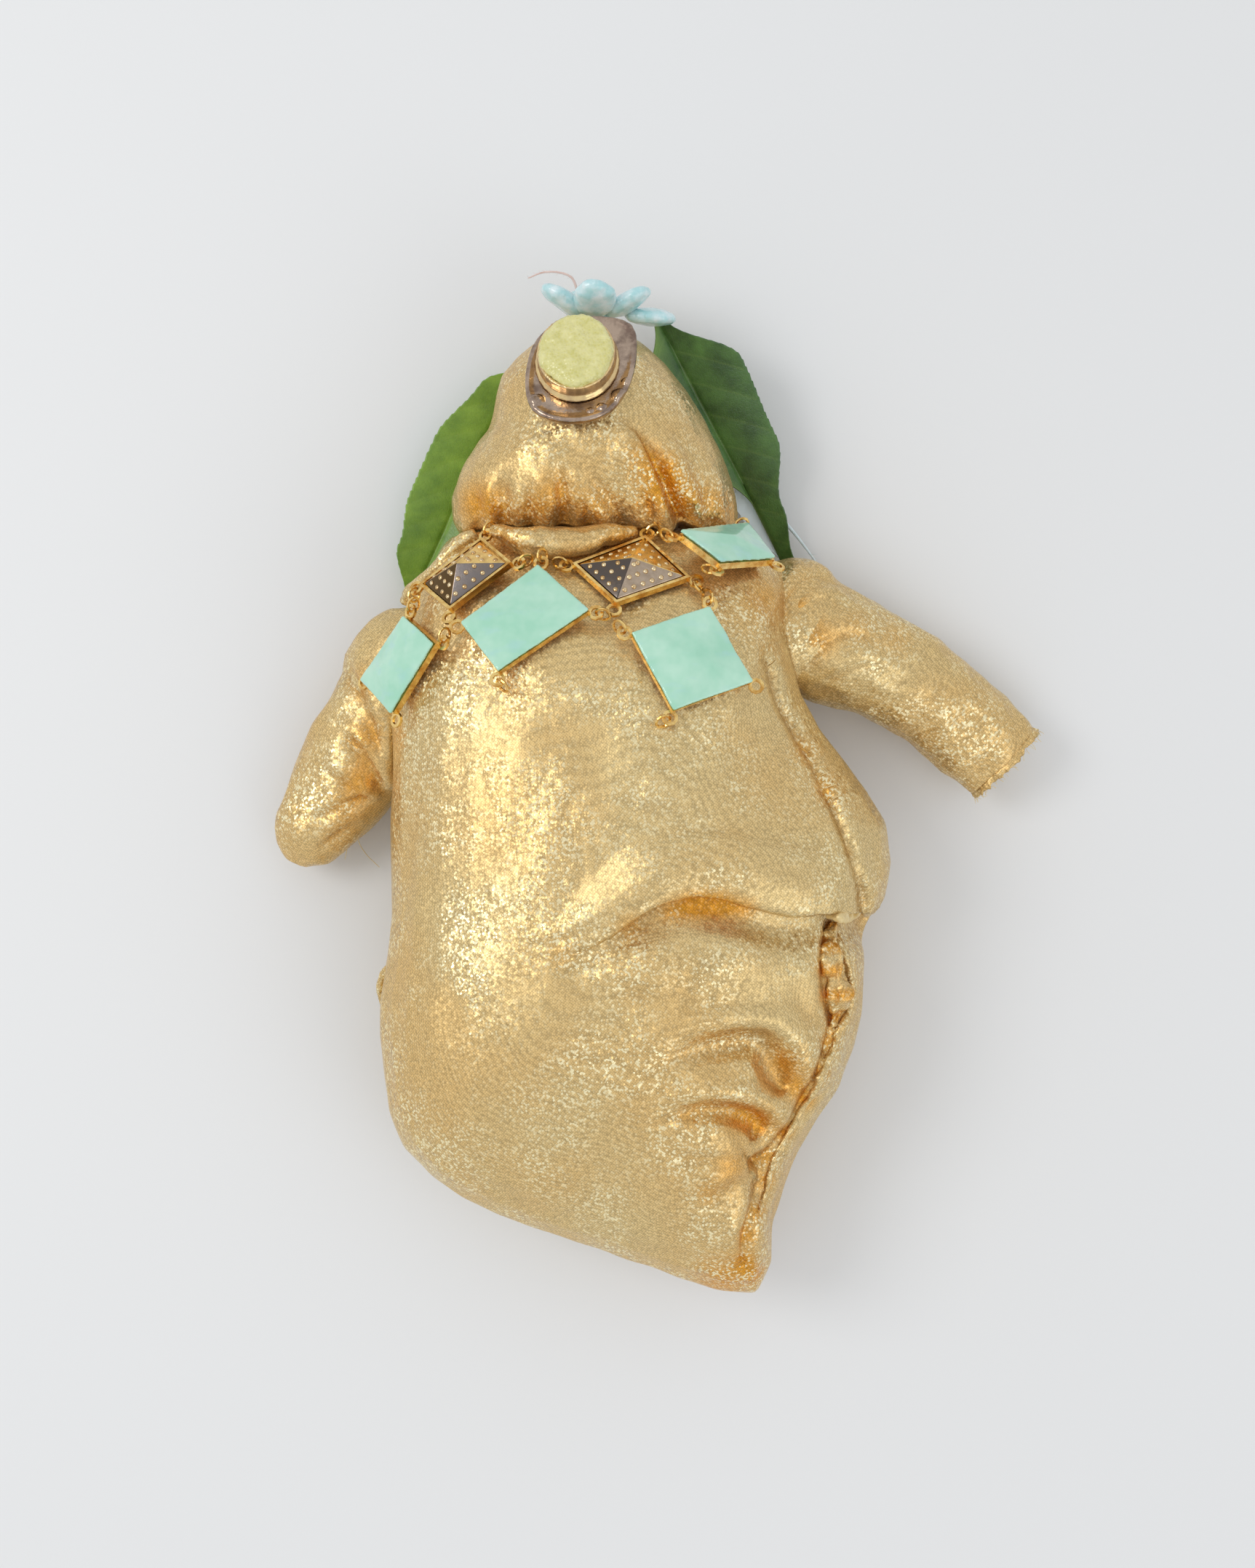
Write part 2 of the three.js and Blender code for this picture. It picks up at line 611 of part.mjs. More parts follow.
// Lay the six tiles, and keep where the middle of each loop's hole comes
const holeOf = {};
const cornerNames = ['top', 'right', 'bottom', 'left'];
for (const [name, tile] of Object.entries(tiles)) {
  const under = [torsoPiece, armLeftPiece, armRightPiece];
  const seat = seatOnCloth(tile.corners, under, torsoSeam, ringRoom);
  const group = seatedGroup(seat);
  const { geometry, holes } = trayGeometry(seat.flat);
  addPiece(`${name}_tray`, geometry, goldMetal, group);
  const inner = insetOutline(seat.flat, rimWidth + fit);
  const floor = trayFloor + fit;
  if (tile.enamel) {
    const over = insetOutline(seat.flat, -enamelOverhang);
    const rimTop = rimHeight + fit;
    const cap = hippedSolid(over, rimTop, rimTop + enamelSide, rimHeight + enamelPeak).solid;
    const filling = solidOf(prism(inner, floor, rimTop + enamelSide / 2));
    addPiece(`${name}_enamel`, geometryOf(cap.add(filling)), enamel, group);
  } else {
    const solid = dottedSolid(inner, floor, rimHeight, rimHeight + stampedPeak);
    addPiece(`${name}_face`, geometryOf(solid), gunmetal, group);
  }
  holes.forEach((hole, i) => {
    const place = new THREE.Vector3(hole.x, hole.y, loopThickness / 2).applyMatrix4(group.matrixWorld);
    holeOf[`${name}.${cornerNames[i]}`] = place;
  });
}

// A jump ring hooked through a loop: it reaches from the loop's hole in the direction given, and its
// plane leans from upright by the tilt, in radians
function addRing(name, from, towards, tilt) {
  const along = towards.clone().normalize();
  const side = new THREE.Vector3(0, 0, 1).cross(along).normalize();
  const upright = along.clone().cross(side);
  const rise = upright.multiplyScalar(Math.cos(tilt)).addScaledVector(side, Math.sin(tilt));
  const ring = addPiece(name, new THREE.TorusGeometry(ringRadius, wireRadius, 6, 12), goldMetal);
  ring.position.copy(from).addScaledVector(along, ringRadius);
  const axes = new THREE.Matrix4().makeBasis(along, rise, along.clone().cross(rise));
  ring.quaternion.setFromRotationMatrix(axes);
}

// Rings along the neck, then those between two tiles, then the two that hang free
const rings = [
  { name: 'neck_ring_left', from: 'collar_tile_left.top', towards: [0.45, 0.89, 0.04], tilt: 0.7 },
  { name: 'neck_ring_middle_left', from: 'collar_tile_left.right', towards: [0.89, 0.45, -0.1], tilt: 0.7 },
  { name: 'neck_ring_middle', from: 'chest_tile_left.top', towards: [0.16, 0.96, -0.21], tilt: 0.7 },
  {
    name: 'neck_ring_middle_right', from: 'collar_tile_right.left',
    towards: [-0.89, 0.39, 0.22], tilt: -0.7,
  },
  { name: 'neck_ring_right', from: 'collar_tile_right.top', towards: [0.81, 0.58, 0.13], tilt: 0.7 },
  { name: 'neck_ring_shoulder', from: 'shoulder_tile_right.left', towards: [-0.81, 0.3, -0.51], tilt: -0.7 },
  { name: 'neck_ring_outer', from: 'shoulder_tile_right.top', towards: [-0.66, 0.4, 0.64], tilt: -1.3 },
  {
    name: 'shoulder_ring_left_upper', from: 'collar_tile_left.left',
    towards: [-0.35, -0.93, 0.12], tilt: -0.7,
  },
  { name: 'shoulder_ring_left_lower', from: 'shoulder_tile_left.top', towards: [0.36, 0.93, 0.1], tilt: 0.7 },
  {
    name: 'shoulder_ring_right_upper', from: 'collar_tile_right.right',
    towards: [0.36, -0.8, 0.48], tilt: -0.45,
  },
  { name: 'shoulder_ring_right_lower', from: 'chest_tile_right.top', towards: [-0.3, 0.9, -0.3], tilt: -0.7 },
  { name: 'side_ring_left', from: 'shoulder_tile_left.right', towards: [0.16, 0.97, 0.16], tilt: 0.7 },
  { name: 'side_ring_middle_upper', from: 'chest_tile_left.right', towards: [0.97, -0.2, 0.1], tilt: 0.7 },
  { name: 'side_ring_middle_lower', from: 'chest_tile_right.left', towards: [-0.64, 0.77, 0], tilt: -0.7 },
  { name: 'side_ring_right', from: 'shoulder_tile_right.bottom', towards: [-0.97, 0.23, 0], tilt: -0.45 },
  { name: 'drop_ring_left', from: 'chest_tile_left.bottom', towards: [0.64, -0.77, 0], tilt: 0.45 },
  { name: 'drop_ring_right', from: 'chest_tile_right.bottom', towards: [-0.89, -0.45, 0], tilt: -0.7 },
];
for (const { name, from, towards, tilt } of rings) {
  addRing(name, holeOf[from], new THREE.Vector3(...towards), tilt);
}

// Brooch: the hammered plate lies on the head, and the bezel with its stone stands on the plate
function ovalDisc(profile, sides) {
  const lathe = new THREE.LatheGeometry(profile.map(([x, y]) => new THREE.Vector2(x, y)), sides);
  return lathe.rotateX(Math.PI / 2).scale(1, stoneStretch, 1);
}
const plateReach = 12; // from its middle to its edge
const [broochX, broochY] = broochPlace;
const broochCorners = [
  [broochX, broochY + plateReach], [broochX + plateReach, broochY],
  [broochX, broochY - plateReach], [broochX - plateReach, broochY],
];
const brooch = seatedGroup(seatOnCloth(broochCorners, [headPiece], headSeam, fit));
const platePoints = new THREE.CatmullRomCurve3(
  plateOutline.map(([x, y]) => new THREE.Vector3(x, y, 0)), true, 'centripetal',
).getSpacedPoints(36).slice(0, 36);
const bevel = 0.4;
const plateShape = new THREE.Shape(platePoints.map((p) => new THREE.Vector2(p.x, p.y)));
const plateGeometry = new THREE.ExtrudeGeometry(plateShape, {
  depth: plateThickness - 2 * bevel,
  bevelThickness: bevel, bevelSize: bevel, bevelOffset: -bevel, bevelSegments: 2,
}).translate(0, 0, bevel);
addPiece('brooch_plate', plateGeometry, bronze, brooch);
const bezelInner = stoneRadius + fit;
const bezelOuter = bezelInner + bezelWall;
const bezelFoot = plateThickness + fit;
const footHeight = 1;
const seatHeight = 1;
const bezelProfile = [
  [0, bezelFoot], [bezelOuter + bezelFlange, bezelFoot],
  [bezelOuter + bezelFlange, bezelFoot + footHeight * 0.5],
  [bezelOuter + 0.3, bezelFoot + footHeight], [bezelOuter, bezelFoot + footHeight + 0.4],
  [bezelOuter, bezelFoot + bezelHeight], [bezelInner, bezelFoot + bezelHeight],
  [bezelInner, bezelFoot + seatHeight], [0, bezelFoot + seatHeight],
];
const bezelSides = 28;
addPiece('brooch_bezel', ovalDisc(bezelProfile, bezelSides).translate(...bezelShift, 0), goldMetal, brooch);
const stoneFoot = bezelFoot + seatHeight + fit;
const stoneProfile = [
  [0, stoneFoot], [stoneRadius, stoneFoot], [stoneRadius, stoneFoot + stoneHeight * 0.75],
  [stoneRadius * 0.93, stoneFoot + stoneHeight * 0.93], [stoneRadius * 0.7, stoneFoot + stoneHeight],
  [0, stoneFoot + stoneHeight * 1.02],
];
addPiece('brooch_stone', ovalDisc(stoneProfile, bezelSides).translate(...bezelShift, 0), stone, brooch);

// Flower: bead-like petals round a button, facing up over the crown
const flower = new THREE.Group();
flower.position.set(...flowerPlace);
flower.rotation.x = flowerLean - Math.PI / 2;
flower.updateMatrixWorld();
doll.add(flower);
const petalStart = buttonRadius + fit;
petals.forEach(({ degrees, rise, out }, i) => {
  const petal = new THREE.SphereGeometry(0.5, 10, 6).rotateZ(-Math.PI / 2);
  petal.scale(petalLength, petalWidth, petalThickness);
  petal.translate(petalLength / 2, 0, 0).rotateY(-rise).translate(petalStart + out, 0, 0);
  addPiece(`petal_${i + 1}`, petal.rotateZ(THREE.MathUtils.degToRad(degrees)), petalGlaze, flower);
});
const button = new THREE.SphereGeometry(buttonRadius, 12, 8);
addPiece('flower_button', button.scale(1, 1, 0.6), petalGlaze, flower);
addPiece('flower_thread', wireGeometry(threadPath, threadRadius, 14), threadPink);

// Leaves and feather, cut where the head and the body lie on them
const cutAll = (solid, cutters) => cutters.reduce((left, cutter) => left.subtract(cutter), solid);
const armsClear = [armLeft, armRight].map((arm) => armRoot(arm, swingRoom)
  .add(solidOf(limbGeometry(arm.stations, armSides, 2, fit))));
const bodyClear = [torsoClear, headClear, ...armsClear, halfSpace('z', fit, -1)];
for (const [name, leaf] of Object.entries({ leaf_left: leafLeft, leaf_right: leafRight })) {
  const blade = solidOf(bladeGeometry(leaf, leafThickness));
  addPiece(name, geometryOf(largestBody(cutAll(blade, bodyClear))), leafGreen);
}
const leafClear = solidOf(bladeGeometry(leafRight, leafThickness + 2 * fit));
const vaneSolid = cutAll(solidOf(bladeGeometry(vane, vaneThickness, 6, 2)), [...bodyClear, leafClear]);
addPiece('feather_vane', geometryOf(largestBody(vaneSolid)), shellWhite);
addPiece('feather_quill', wireGeometry(quillPath, quillRadius, 8), shellWhite);

export default doll;
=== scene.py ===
# An art doll of gold lame cloth, lying on its back on a table: a stuffed bag of a body, a gathered head,
# two stub arms, a piece of bib necklace, a brooch, a flower and two leaves. Typed sizes are in millimetres,
# and become metres by mm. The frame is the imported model's: +Y to the crown, +Z up.

import math
from functools import partial

import bmesh
import bpy
import numpy as np
from mathutils import Matrix, Vector, noise
from mathutils.bvhtree import BVHTree

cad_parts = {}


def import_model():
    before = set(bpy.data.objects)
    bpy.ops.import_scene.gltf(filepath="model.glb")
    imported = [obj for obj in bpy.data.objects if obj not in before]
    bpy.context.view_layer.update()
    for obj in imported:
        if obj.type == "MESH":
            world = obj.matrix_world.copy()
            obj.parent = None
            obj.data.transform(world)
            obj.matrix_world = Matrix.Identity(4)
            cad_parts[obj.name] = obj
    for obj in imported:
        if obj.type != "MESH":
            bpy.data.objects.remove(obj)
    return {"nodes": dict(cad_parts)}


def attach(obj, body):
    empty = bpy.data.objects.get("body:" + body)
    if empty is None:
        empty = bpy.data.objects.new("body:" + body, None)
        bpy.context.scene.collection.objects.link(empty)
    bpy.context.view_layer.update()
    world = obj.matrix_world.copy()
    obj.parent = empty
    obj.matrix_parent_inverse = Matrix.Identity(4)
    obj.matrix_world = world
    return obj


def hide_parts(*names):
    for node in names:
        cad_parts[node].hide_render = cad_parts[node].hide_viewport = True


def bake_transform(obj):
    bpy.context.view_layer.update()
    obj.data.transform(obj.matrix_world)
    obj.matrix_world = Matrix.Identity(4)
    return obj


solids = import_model()["nodes"]
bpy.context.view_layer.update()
mm = 0.001
full_turn = 2 * math.pi
straight_up = (0, 0, 1)


# Table and light: a pale table top under a soft studio light. A large lamp stands on the picture's left, a
# second fills from the right, and the room itself is pale.
def paint(red, green, blue):
    """A colour as a painter's chart gives it, 0 to 255, for a shader's socket."""
    return (*((c / 255 + 0.055) ** 2.4 / 1.055 ** 2.4 for c in (red, green, blue)), 1)


def feed(tree, socket, value):
    if isinstance(value, bpy.types.NodeSocket):
        tree.links.new(value, socket)
    else:
        socket.default_value = value


def add_node(tree, kind, sockets=None, **settings):
    """A node with its settings, whose sockets take a constant or a link from another socket."""
    node = tree.nodes.new(kind)
    for key, value in settings.items():
        setattr(node, key, value)
    for key, value in (sockets or {}).items():
        feed(tree, node.inputs[key], value)
    return node


class Finish:
    """A material as it is built up: each method adds a node and gives its output. Sizes are millimetres."""

    def __init__(self, name, **sockets):
        self.material = bpy.data.materials.new(name)
        self.material.use_nodes = True
        self.tree = self.material.node_tree
        self.shader = self.tree.nodes["Principled BSDF"]
        self.place = self.node("TexCoord").outputs["Object"]
        self.wear(**sockets)

    def wear(self, **sockets):
        """The shader's sockets are fed by name, with underscores for spaces."""
        for socket, value in sockets.items():
            feed(self.tree, self.shader.inputs[socket.replace("_", " ")], value)
        return self.material

    def node(self, kind, sockets=None, **settings):
        return add_node(self.tree, "ShaderNode" + kind, sockets, **settings)

    def turned(self, degrees, stretch=(1, 1, 1)):
        """The place turned about the upright, and stretched."""
        sockets = {"Vector": self.place, "Rotation": (0, 0, math.radians(degrees)), "Scale": stretch}
        return self.node("Mapping", sockets).outputs["Vector"]

    def grain(self, size, detail=2.0, roughness=0.5, place=None):
        """Noise with features about as large as the size given."""
        sockets = {"Vector": place or self.place, "Scale": 1 / (size * mm)}
        return self.node("TexNoise", {**sockets, "Detail": detail, "Roughness": roughness}).outputs["Fac"]

    def cells(self, size, randomness=1.0, place=None, **settings):
        sockets = {"Vector": place or self.place, "Scale": 1 / (size * mm), "Randomness": randomness}
        return self.node("TexVoronoi", sockets, **settings).outputs

    def ranged(self, value, low, high, to_low=0.0, to_high=1.0):
        sockets = {"Value": value, "From Min": low, "From Max": high, "To Min": to_low, "To Max": to_high}
        return self.node("MapRange", sockets).outputs["Result"]

    def patches(self, size, low, high, detail=4.0, roughness=0.6):
        """Noise drawn apart into patches of all and nothing."""
        return self.ranged(self.grain(size, detail, roughness), low, high)

    def reckoned(self, operation, first, second):
        return self.node("Math", {0: first, 1: second}, operation=operation).outputs[0]

    def times(self, first, second):
        return self.reckoned("MULTIPLY", first, second)

    def vectors(self, operation, first, second=(0, 0, 0)):
        return self.node("VectorMath", {0: first, 1: second}, operation=operation).outputs[0]

    def mixed(self, share, first, second, blend="MIX"):
        sockets = {"Factor": share, "A": first, "B": second}
        return self.node("Mix", sockets, data_type="RGBA", blend_type=blend).outputs["Result"]

    def attribute(self, name, output="Fac"):
        return self.node("Attribute", attribute_name=name).outputs[output]

    def relief(self, height, depth, strength):
        sockets = {"Height": height, "Distance": depth * mm, "Strength": strength}
        return self.node("Bump", sockets).outputs["Normal"]


def placed(name, data):
    thing = bpy.data.objects.new(name, data)
    bpy.context.collection.objects.link(thing)
    return thing


def new_piece(name, points=(), faces=(), edges=()):
    mesh = bpy.data.meshes.new(name)
    mesh.from_pydata([tuple(p) for p in points], list(edges), [tuple(f) for f in faces])
    mesh.update()
    return placed(name, mesh)


def soft_lamp(name, place, size, watts):
    """A round lamp that looks at the doll's middle."""
    lamp = bpy.data.lights.new(name, "AREA")
    lamp.shape, lamp.size, lamp.energy = "DISK", size, watts
    holder = placed(name, lamp)
    holder.location = place
    holder.rotation_euler = (-Vector(place)).to_track_quat("-Z", "Y").to_euler()


table_reach = 2.5
table_corners = [(x * table_reach, y * table_reach, 0) for x, y in ((-1, -1), (1, -1), (1, 1), (-1, 1))]
table_top = new_piece("table_top", table_corners, [(0, 1, 2, 3)])
table_paint = Finish("table_paint", Base_Color=paint(230, 230, 229), Roughness=0.7)
table_top.data.materials.append(table_paint.material)

soft_lamp("window_lamp", (-0.6, 0.16, 0.76), 0.45, 2.1)
soft_lamp("fill_lamp", (0.7, -0.5, 0.8), 0.8, 1.3)
room = bpy.data.worlds.new("pale_room")
room.use_nodes = True
backdrop = room.node_tree.nodes["Background"].inputs
backdrop["Color"].default_value = (0.95, 0.97, 1, 1)
backdrop["Strength"].default_value = 0.8
bpy.context.scene.world = room
bpy.context.scene.view_settings.view_transform = "Standard"

# Camera: straight above the doll, 520 mm over the table, as in the photograph. The tall frame takes in
# 388 mm from top to bottom at the height of the side seams.
camera_height = 520 * mm
seam_height = 28 * mm
frame_height = 388.1 * mm
lens = bpy.data.cameras.new("overhead")
lens.sensor_width = 36
lens.lens = lens.sensor_width / frame_height * (camera_height - seam_height)
overhead = placed("overhead", lens)
overhead.location = (-6.66 * mm, 0.09 * mm, camera_height)
bpy.context.scene.camera = overhead


# Body and arms: one bag of lame, a fine knit printed with dots of gold foil. It is cut front and back, sewn
# at the sides, turned and stuffed hard, and the arms are sewn into its armholes. The seam on the picture's
# right was closed by hand from outside, so the cloth bunches and folds along it.
def lame_finish(name, foil, shade, deep, glint):
    """Foil dots on a knit. Each dot shines and leans its own way, and painted highlights glint in patches."""
    cloth = Finish(name, Metallic=0.74, Specular_IOR_Level=0.5)
    dots = cloth.cells(0.5, 0.45, cloth.turned(38))
    clumps = cloth.cells(0.95, 1.0, cloth.turned(30, (0.6, 1, 1)))
    glint_patches = cloth.patches(16, 0.42, 0.62, 3.0, 0.55)

    def shine(cells):
        return cloth.node("SeparateColor", {"Color": cells["Color"]}).outputs["Red"]

    def tilt(cells, amount):
        return cloth.vectors("MULTIPLY", cloth.vectors("SUBTRACT", cells["Color"], (0.5, 0.5, 0.5)), amount)

    dot_shine = shine(dots)
    # Painted highlight: in the glinting patches the brightest dots are painted towards the pale glint colour.
    painted_glints = cloth.times(cloth.ranged(dot_shine, 0.66, 0.86), cloth.ranged(glint_patches, 0, 1, 0.1, 0.85))
    tone = cloth.times(cloth.ranged(dot_shine, 0, 1, 0.86, 1.0), cloth.ranged(shine(clumps), 0, 1, 0.92, 1.0))
    tone = cloth.times(tone, cloth.ranged(dots["Distance"], 0.36, 0.66, 1.0, 0.66))
    gray = cloth.node("CombineColor", {"Red": tone, "Green": tone, "Blue": tone}).outputs["Color"]
    warmer = cloth.ranged(cloth.grain(38), 0.38, 0.62, 0.0, 0.22)
    # Painted shade in the hollows, then painted reflected light, deep gold, in the glow patches, mixed with a
    # warmer tone at random.
    shaded = cloth.mixed(cloth.times(cloth.attribute("hollow_shade"), 0.85), foil, shade)
    gold = cloth.mixed(cloth.reckoned("MAXIMUM", cloth.attribute("glow"), warmer), shaded, deep)
    color = cloth.mixed(painted_glints, cloth.mixed(1.0, gold, gray, "MULTIPLY"), glint)

    amount = cloth.ranged(glint_patches, 0, 1, 0.14, 0.34)
    tilts = cloth.vectors("ADD", tilt(dots, amount), tilt(clumps, cloth.times(amount, 0.6)))
    crinkles = cloth.grain(2.6, 3.0, 0.55, cloth.turned(25, (1, 0.45, 1)))
    crinkled = cloth.relief(cloth.times(crinkles, cloth.ranged(glint_patches, 0, 1, 0.5, 1.0)), 0.75, 0.5)
    return cloth.wear(Base_Color=color, Roughness=cloth.ranged(glint_patches, 0, 1, 0.4, 0.3),
                      Normal=cloth.vectors("NORMALIZE", cloth.vectors("ADD", crinkled, tilts)))


def modify(piece, kind, **settings):
    modifier = piece.modifiers.new(kind.lower(), kind)
    for key, value in settings.items():
        setattr(modifier, key, value)
    return modifier


def baked(piece):
    """The object with its modifiers applied, and smooth faces."""
    shown = piece.evaluated_get(bpy.context.evaluated_depsgraph_get())
    mesh = bpy.data.meshes.new_from_object(shown)
    piece.modifiers.clear()
    old, piece.data = piece.data, mesh
    bpy.data.meshes.remove(old)
    mesh.name = piece.name
    mesh.shade_smooth()
    return piece


def biggest_part(piece):
    """Loose points and the inner skins that a remesh leaves behind are dropped."""
    skin = bmesh.new()
    skin.from_mesh(piece.data)
    left, parts = set(skin.verts), []
    while left:
        part = [left.pop()]
        for vert in part:
            for edge in vert.link_edges:
                other = edge.other_vert(vert)
                if other in left:
                    left.remove(other)
                    part.append(other)
        parts.append(part)
    parts.sort(key=len)
    bmesh.ops.delete(skin, geom=[v for part in parts[:-1] for v in part], context="VERTS")
    skin.to_mesh(piece.data)
    skin.free()
    return piece


def evened(piece, voxel, rounds):
    """The piece remeshed with cells of one size, and smoothed."""
    modify(piece, "REMESH", mode="VOXEL", voxel_size=voxel * mm)
    modify(piece, "SMOOTH", factor=0.5, iterations=rounds)
    return baked(piece)


def even_skin(name, solid, voxel, rounds, fillings=()):
    """One even skin round a solid, with balls of filling joined to it: (place, radius, depth)."""
    skin = bmesh.new()
    skin.from_mesh(solids[solid].data)
    bmesh.ops.remove_doubles(skin, verts=skin.verts, dist=0.01 * mm)
    for place, radius, depth in fillings:
        shape = Matrix.Diagonal((radius * mm, radius * mm, depth * mm, 1))
        shape.translation = Vector(place) * mm
        bmesh.ops.create_uvsphere(skin, u_segments=40, v_segments=20, radius=1, matrix=shape)
    piece = new_piece(name)
    skin.to_mesh(piece.data)
    skin.free()
    return biggest_part(evened(piece, voxel, rounds))


def places_of(mesh, kind="co"):
    values = np.empty(len(mesh.vertices) * 3)
    mesh.vertices.foreach_get(kind, values)
    return values.reshape(-1, 3)


def normals_of(mesh):
    return places_of(mesh, "normal")


def put_places(mesh, places):
    mesh.vertices.foreach_set("co", places.ravel())
    mesh.update()


def swell(mesh, height, slide=0.0):
    """The skin moves out along its normals, and slides, but not into the table."""
    places = places_of(mesh) + normals_of(mesh) * np.reshape(height, (-1, 1)) + slide
    places[:, 2] = np.maximum(places[:, 2], 0)
    put_places(mesh, places)


def keep_values(mesh, name, values):
    kept = mesh.attributes.get(name) or mesh.attributes.new(name, "FLOAT", "POINT")
    kept.data.foreach_set("value", np.clip(values, 0, 1).astype(np.float32))


def unit(vectors):
    return vectors / np.linalg.norm(vectors, axis=-1, keepdims=True)


def smooth_line(points, step):
    """A curve through points typed in millimetres, as points in metres that lie about a step apart."""
    points = np.array(points, float) * mm
    padded = np.vstack([2 * points[0] - points[1], points, 2 * points[-1] - points[-2]])
    line = []
    for a, b, c, d in zip(padded, padded[1:], padded[2:], padded[3:]):
        count = max(2, int(np.linalg.norm(c - b) / (step * mm)))
        t = np.linspace(0, 1, count, endpoint=False)[:, None]
        line.append(0.5 * (2 * b + (c - a) * t + (2 * a - 5 * b + 4 * c - d) * t ** 2
                           + (3 * b - a - 3 * c + d) * t ** 3))
    return np.vstack([*line, points[-1:]])


def along(line):
    """Unit directions along a line."""
    return unit(np.gradient(line, axis=0))


def beside(line, places):
    """How far each place lies to the left of a line seen from above, and its share of the way along."""
    nearest = np.empty(len(places), int)
    block = 20000
    for start in range(0, len(places), block):
        gaps = ((places[start:start + block, None, :] - line[None]) ** 2).sum(2)
        nearest[start:start + block] = gaps.argmin(1)
    offset = places - line[nearest]
    tangent = along(line)[nearest]
    left = tangent[:, 0] * offset[:, 1] - tangent[:, 1] * offset[:, 0]
    distance = np.sqrt((offset ** 2).sum(1)) * np.where(left < 0, -1, 1)
    return distance, nearest / (len(line) - 1)


fold_step = 0.7


def fold_cloth(mesh, folds):
    """Each fold swells on the left of its line and sinks on the right, and fades at its ends.

    A fold is (points, swell, sink, width on the left, width on the right, lip, fade at start, fade at end).
    The lip moves the swollen side over the sunk one, and the smaller it is, the softer the fold turns.
    """
    turned_under, turned_up = -0.15, 0.2
    softest, sharpest, steepest, lip_width = 1.6, 0.4, 30, 0.6
    co = places_of(mesh)
    facing_up = np.clip((normals_of(mesh)[:, 2] - turned_under) / (turned_up - turned_under), 0, 1)
    lift = np.zeros(len(co))
    push = np.zeros((len(co), 3))
    for points, rise, sink, left_width, right_width, lip, fade_in, fade_out in folds:
        line = smooth_line(points, fold_step)
        reach = 3 * max(left_width, right_width) * mm
        close = (co[:, :2] > line.min(0) - reach).all(1) & (co[:, :2] < line.max(0) + reach).all(1)
        near = np.flatnonzero(close & (facing_up > 0))
        side, share = beside(line, co[near, :2])
        side /= mm
        turn = max(softest - 2 * lip, sharpest)
        onto_left = 1 / (1 + np.exp(-np.clip(side / turn, -steepest, steepest)))
        ends = np.clip(share / fade_in, 0, 1) if fade_in else 1.0
        ends = ends * (np.clip((1 - share) / fade_out, 0, 1) if fade_out else 1.0)
        weight = ends * ends * (3 - 2 * ends) * facing_up[near]
        up = rise * np.exp(-(np.maximum(side, 0) / left_width) ** 2) * onto_left
        down = sink * np.exp(-(np.maximum(-side, 0) / right_width) ** 2) * (1 - onto_left)
        lift[near] += (up - down) * weight
        if lip:
            tangent = along(line)[(share * (len(line) - 1)).astype(int)]
            amount = lip * np.exp(-(side / (left_width * lip_width)) ** 2) * onto_left * weight
            push[near, :2] += np.stack([tangent[:, 1], -tangent[:, 0]], 1) * amount[:, None]
    swell(mesh, lift * mm, push * mm)


def ease_cloth(piece, points, offset, width, rounds):
    """The cloth is eased along a band beside a line, at an offset to its left."""
    underside, half_step = -0.2, 0.05
    side, _ = beside(smooth_line(points, fold_step), places_of(piece.data)[:, :2])
    band = np.exp(-((side / mm - offset) / width) ** 4) * (normals_of(piece.data)[:, 2] > underside)
    eased_band = piece.vertex_groups.new(name="eased_band")
    for level in np.linspace(2 * half_step, 1, 10):
        share = (band > level - half_step) & (band <= level + half_step)
        eased_band.add(np.flatnonzero(share).tolist(), level, "REPLACE")
    modify(piece, "SMOOTH", factor=0.5, iterations=rounds, vertex_group=eased_band.name)
    baked(piece)
    piece.vertex_groups.clear()


def keep_hollows(piece, glows):
    """How far the cloth lies under its own smoothed skin is kept as painted shade for its hollows.

    A glow is a patch of painted reflected light, deep gold where the cloth faces other cloth: (x, y, radius,
    amount).
    """
    reach, depth, hollow_glow = 3.4, 0.9, 0.25
    modify(piece, "SMOOTH", factor=0.5, iterations=int(2 * (reach / cloth_voxel) ** 2))
    relaxed = places_of(piece.evaluated_get(bpy.context.evaluated_depsgraph_get()).data)
    piece.modifiers.clear()
    co = places_of(piece.data)
    under = np.clip(((relaxed - co) * normals_of(piece.data)).sum(1) / (depth * mm), 0, 1)
    keep_values(piece.data, "hollow_shade", under)
    glow = under * hollow_glow
    for x, y, radius, amount in glows:
        glow += amount * np.exp(-((co[:, 0] / mm - x) ** 2 + (co[:, 1] / mm - y) ** 2) / radius ** 2)
    keep_values(piece.data, "glow", glow)


def dent_cloth(mesh, seed, waves):
    """Soft dents and ripples of stuffed cloth. A wave is (wavelength, height)."""
    co = places_of(mesh)
    lift = np.zeros(len(co))
    dice = np.random.default_rng(seed)
    ripples, crest = 6, 1.6
    for wavelength, height in waves:
        for _ in range(ripples):
            heading = dice.normal(size=3)
            heading *= full_turn / (wavelength * mm * dice.uniform(0.7, 1.4)) / np.linalg.norm(heading)
            lift += height * mm / ripples * np.sin(co @ heading + dice.uniform(0, full_turn)) * crest
    swell(mesh, lift)


def finished(piece, material, body=None, solid=None):
    """A piece gets its material, stands for its solid and rides on its body, where it has them."""
    piece.data.materials.clear()
    piece.data.materials.append(material)
    if solid:
        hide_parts(solid)
    if body:
        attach(piece, body)
    return piece


def stuffed(piece, solid, body, glows, seed, waves, plump=0.0):
    """A folded bag gets the dents of its stuffing and its cloth."""
    dent_cloth(piece.data, seed, waves)
    swell(piece.data, plump * mm)
    # Painted shade in the hollows, and painted reflected light in the glow patches.
    keep_hollows(piece, glows)
    finished(piece, gold_lame, body, solid)


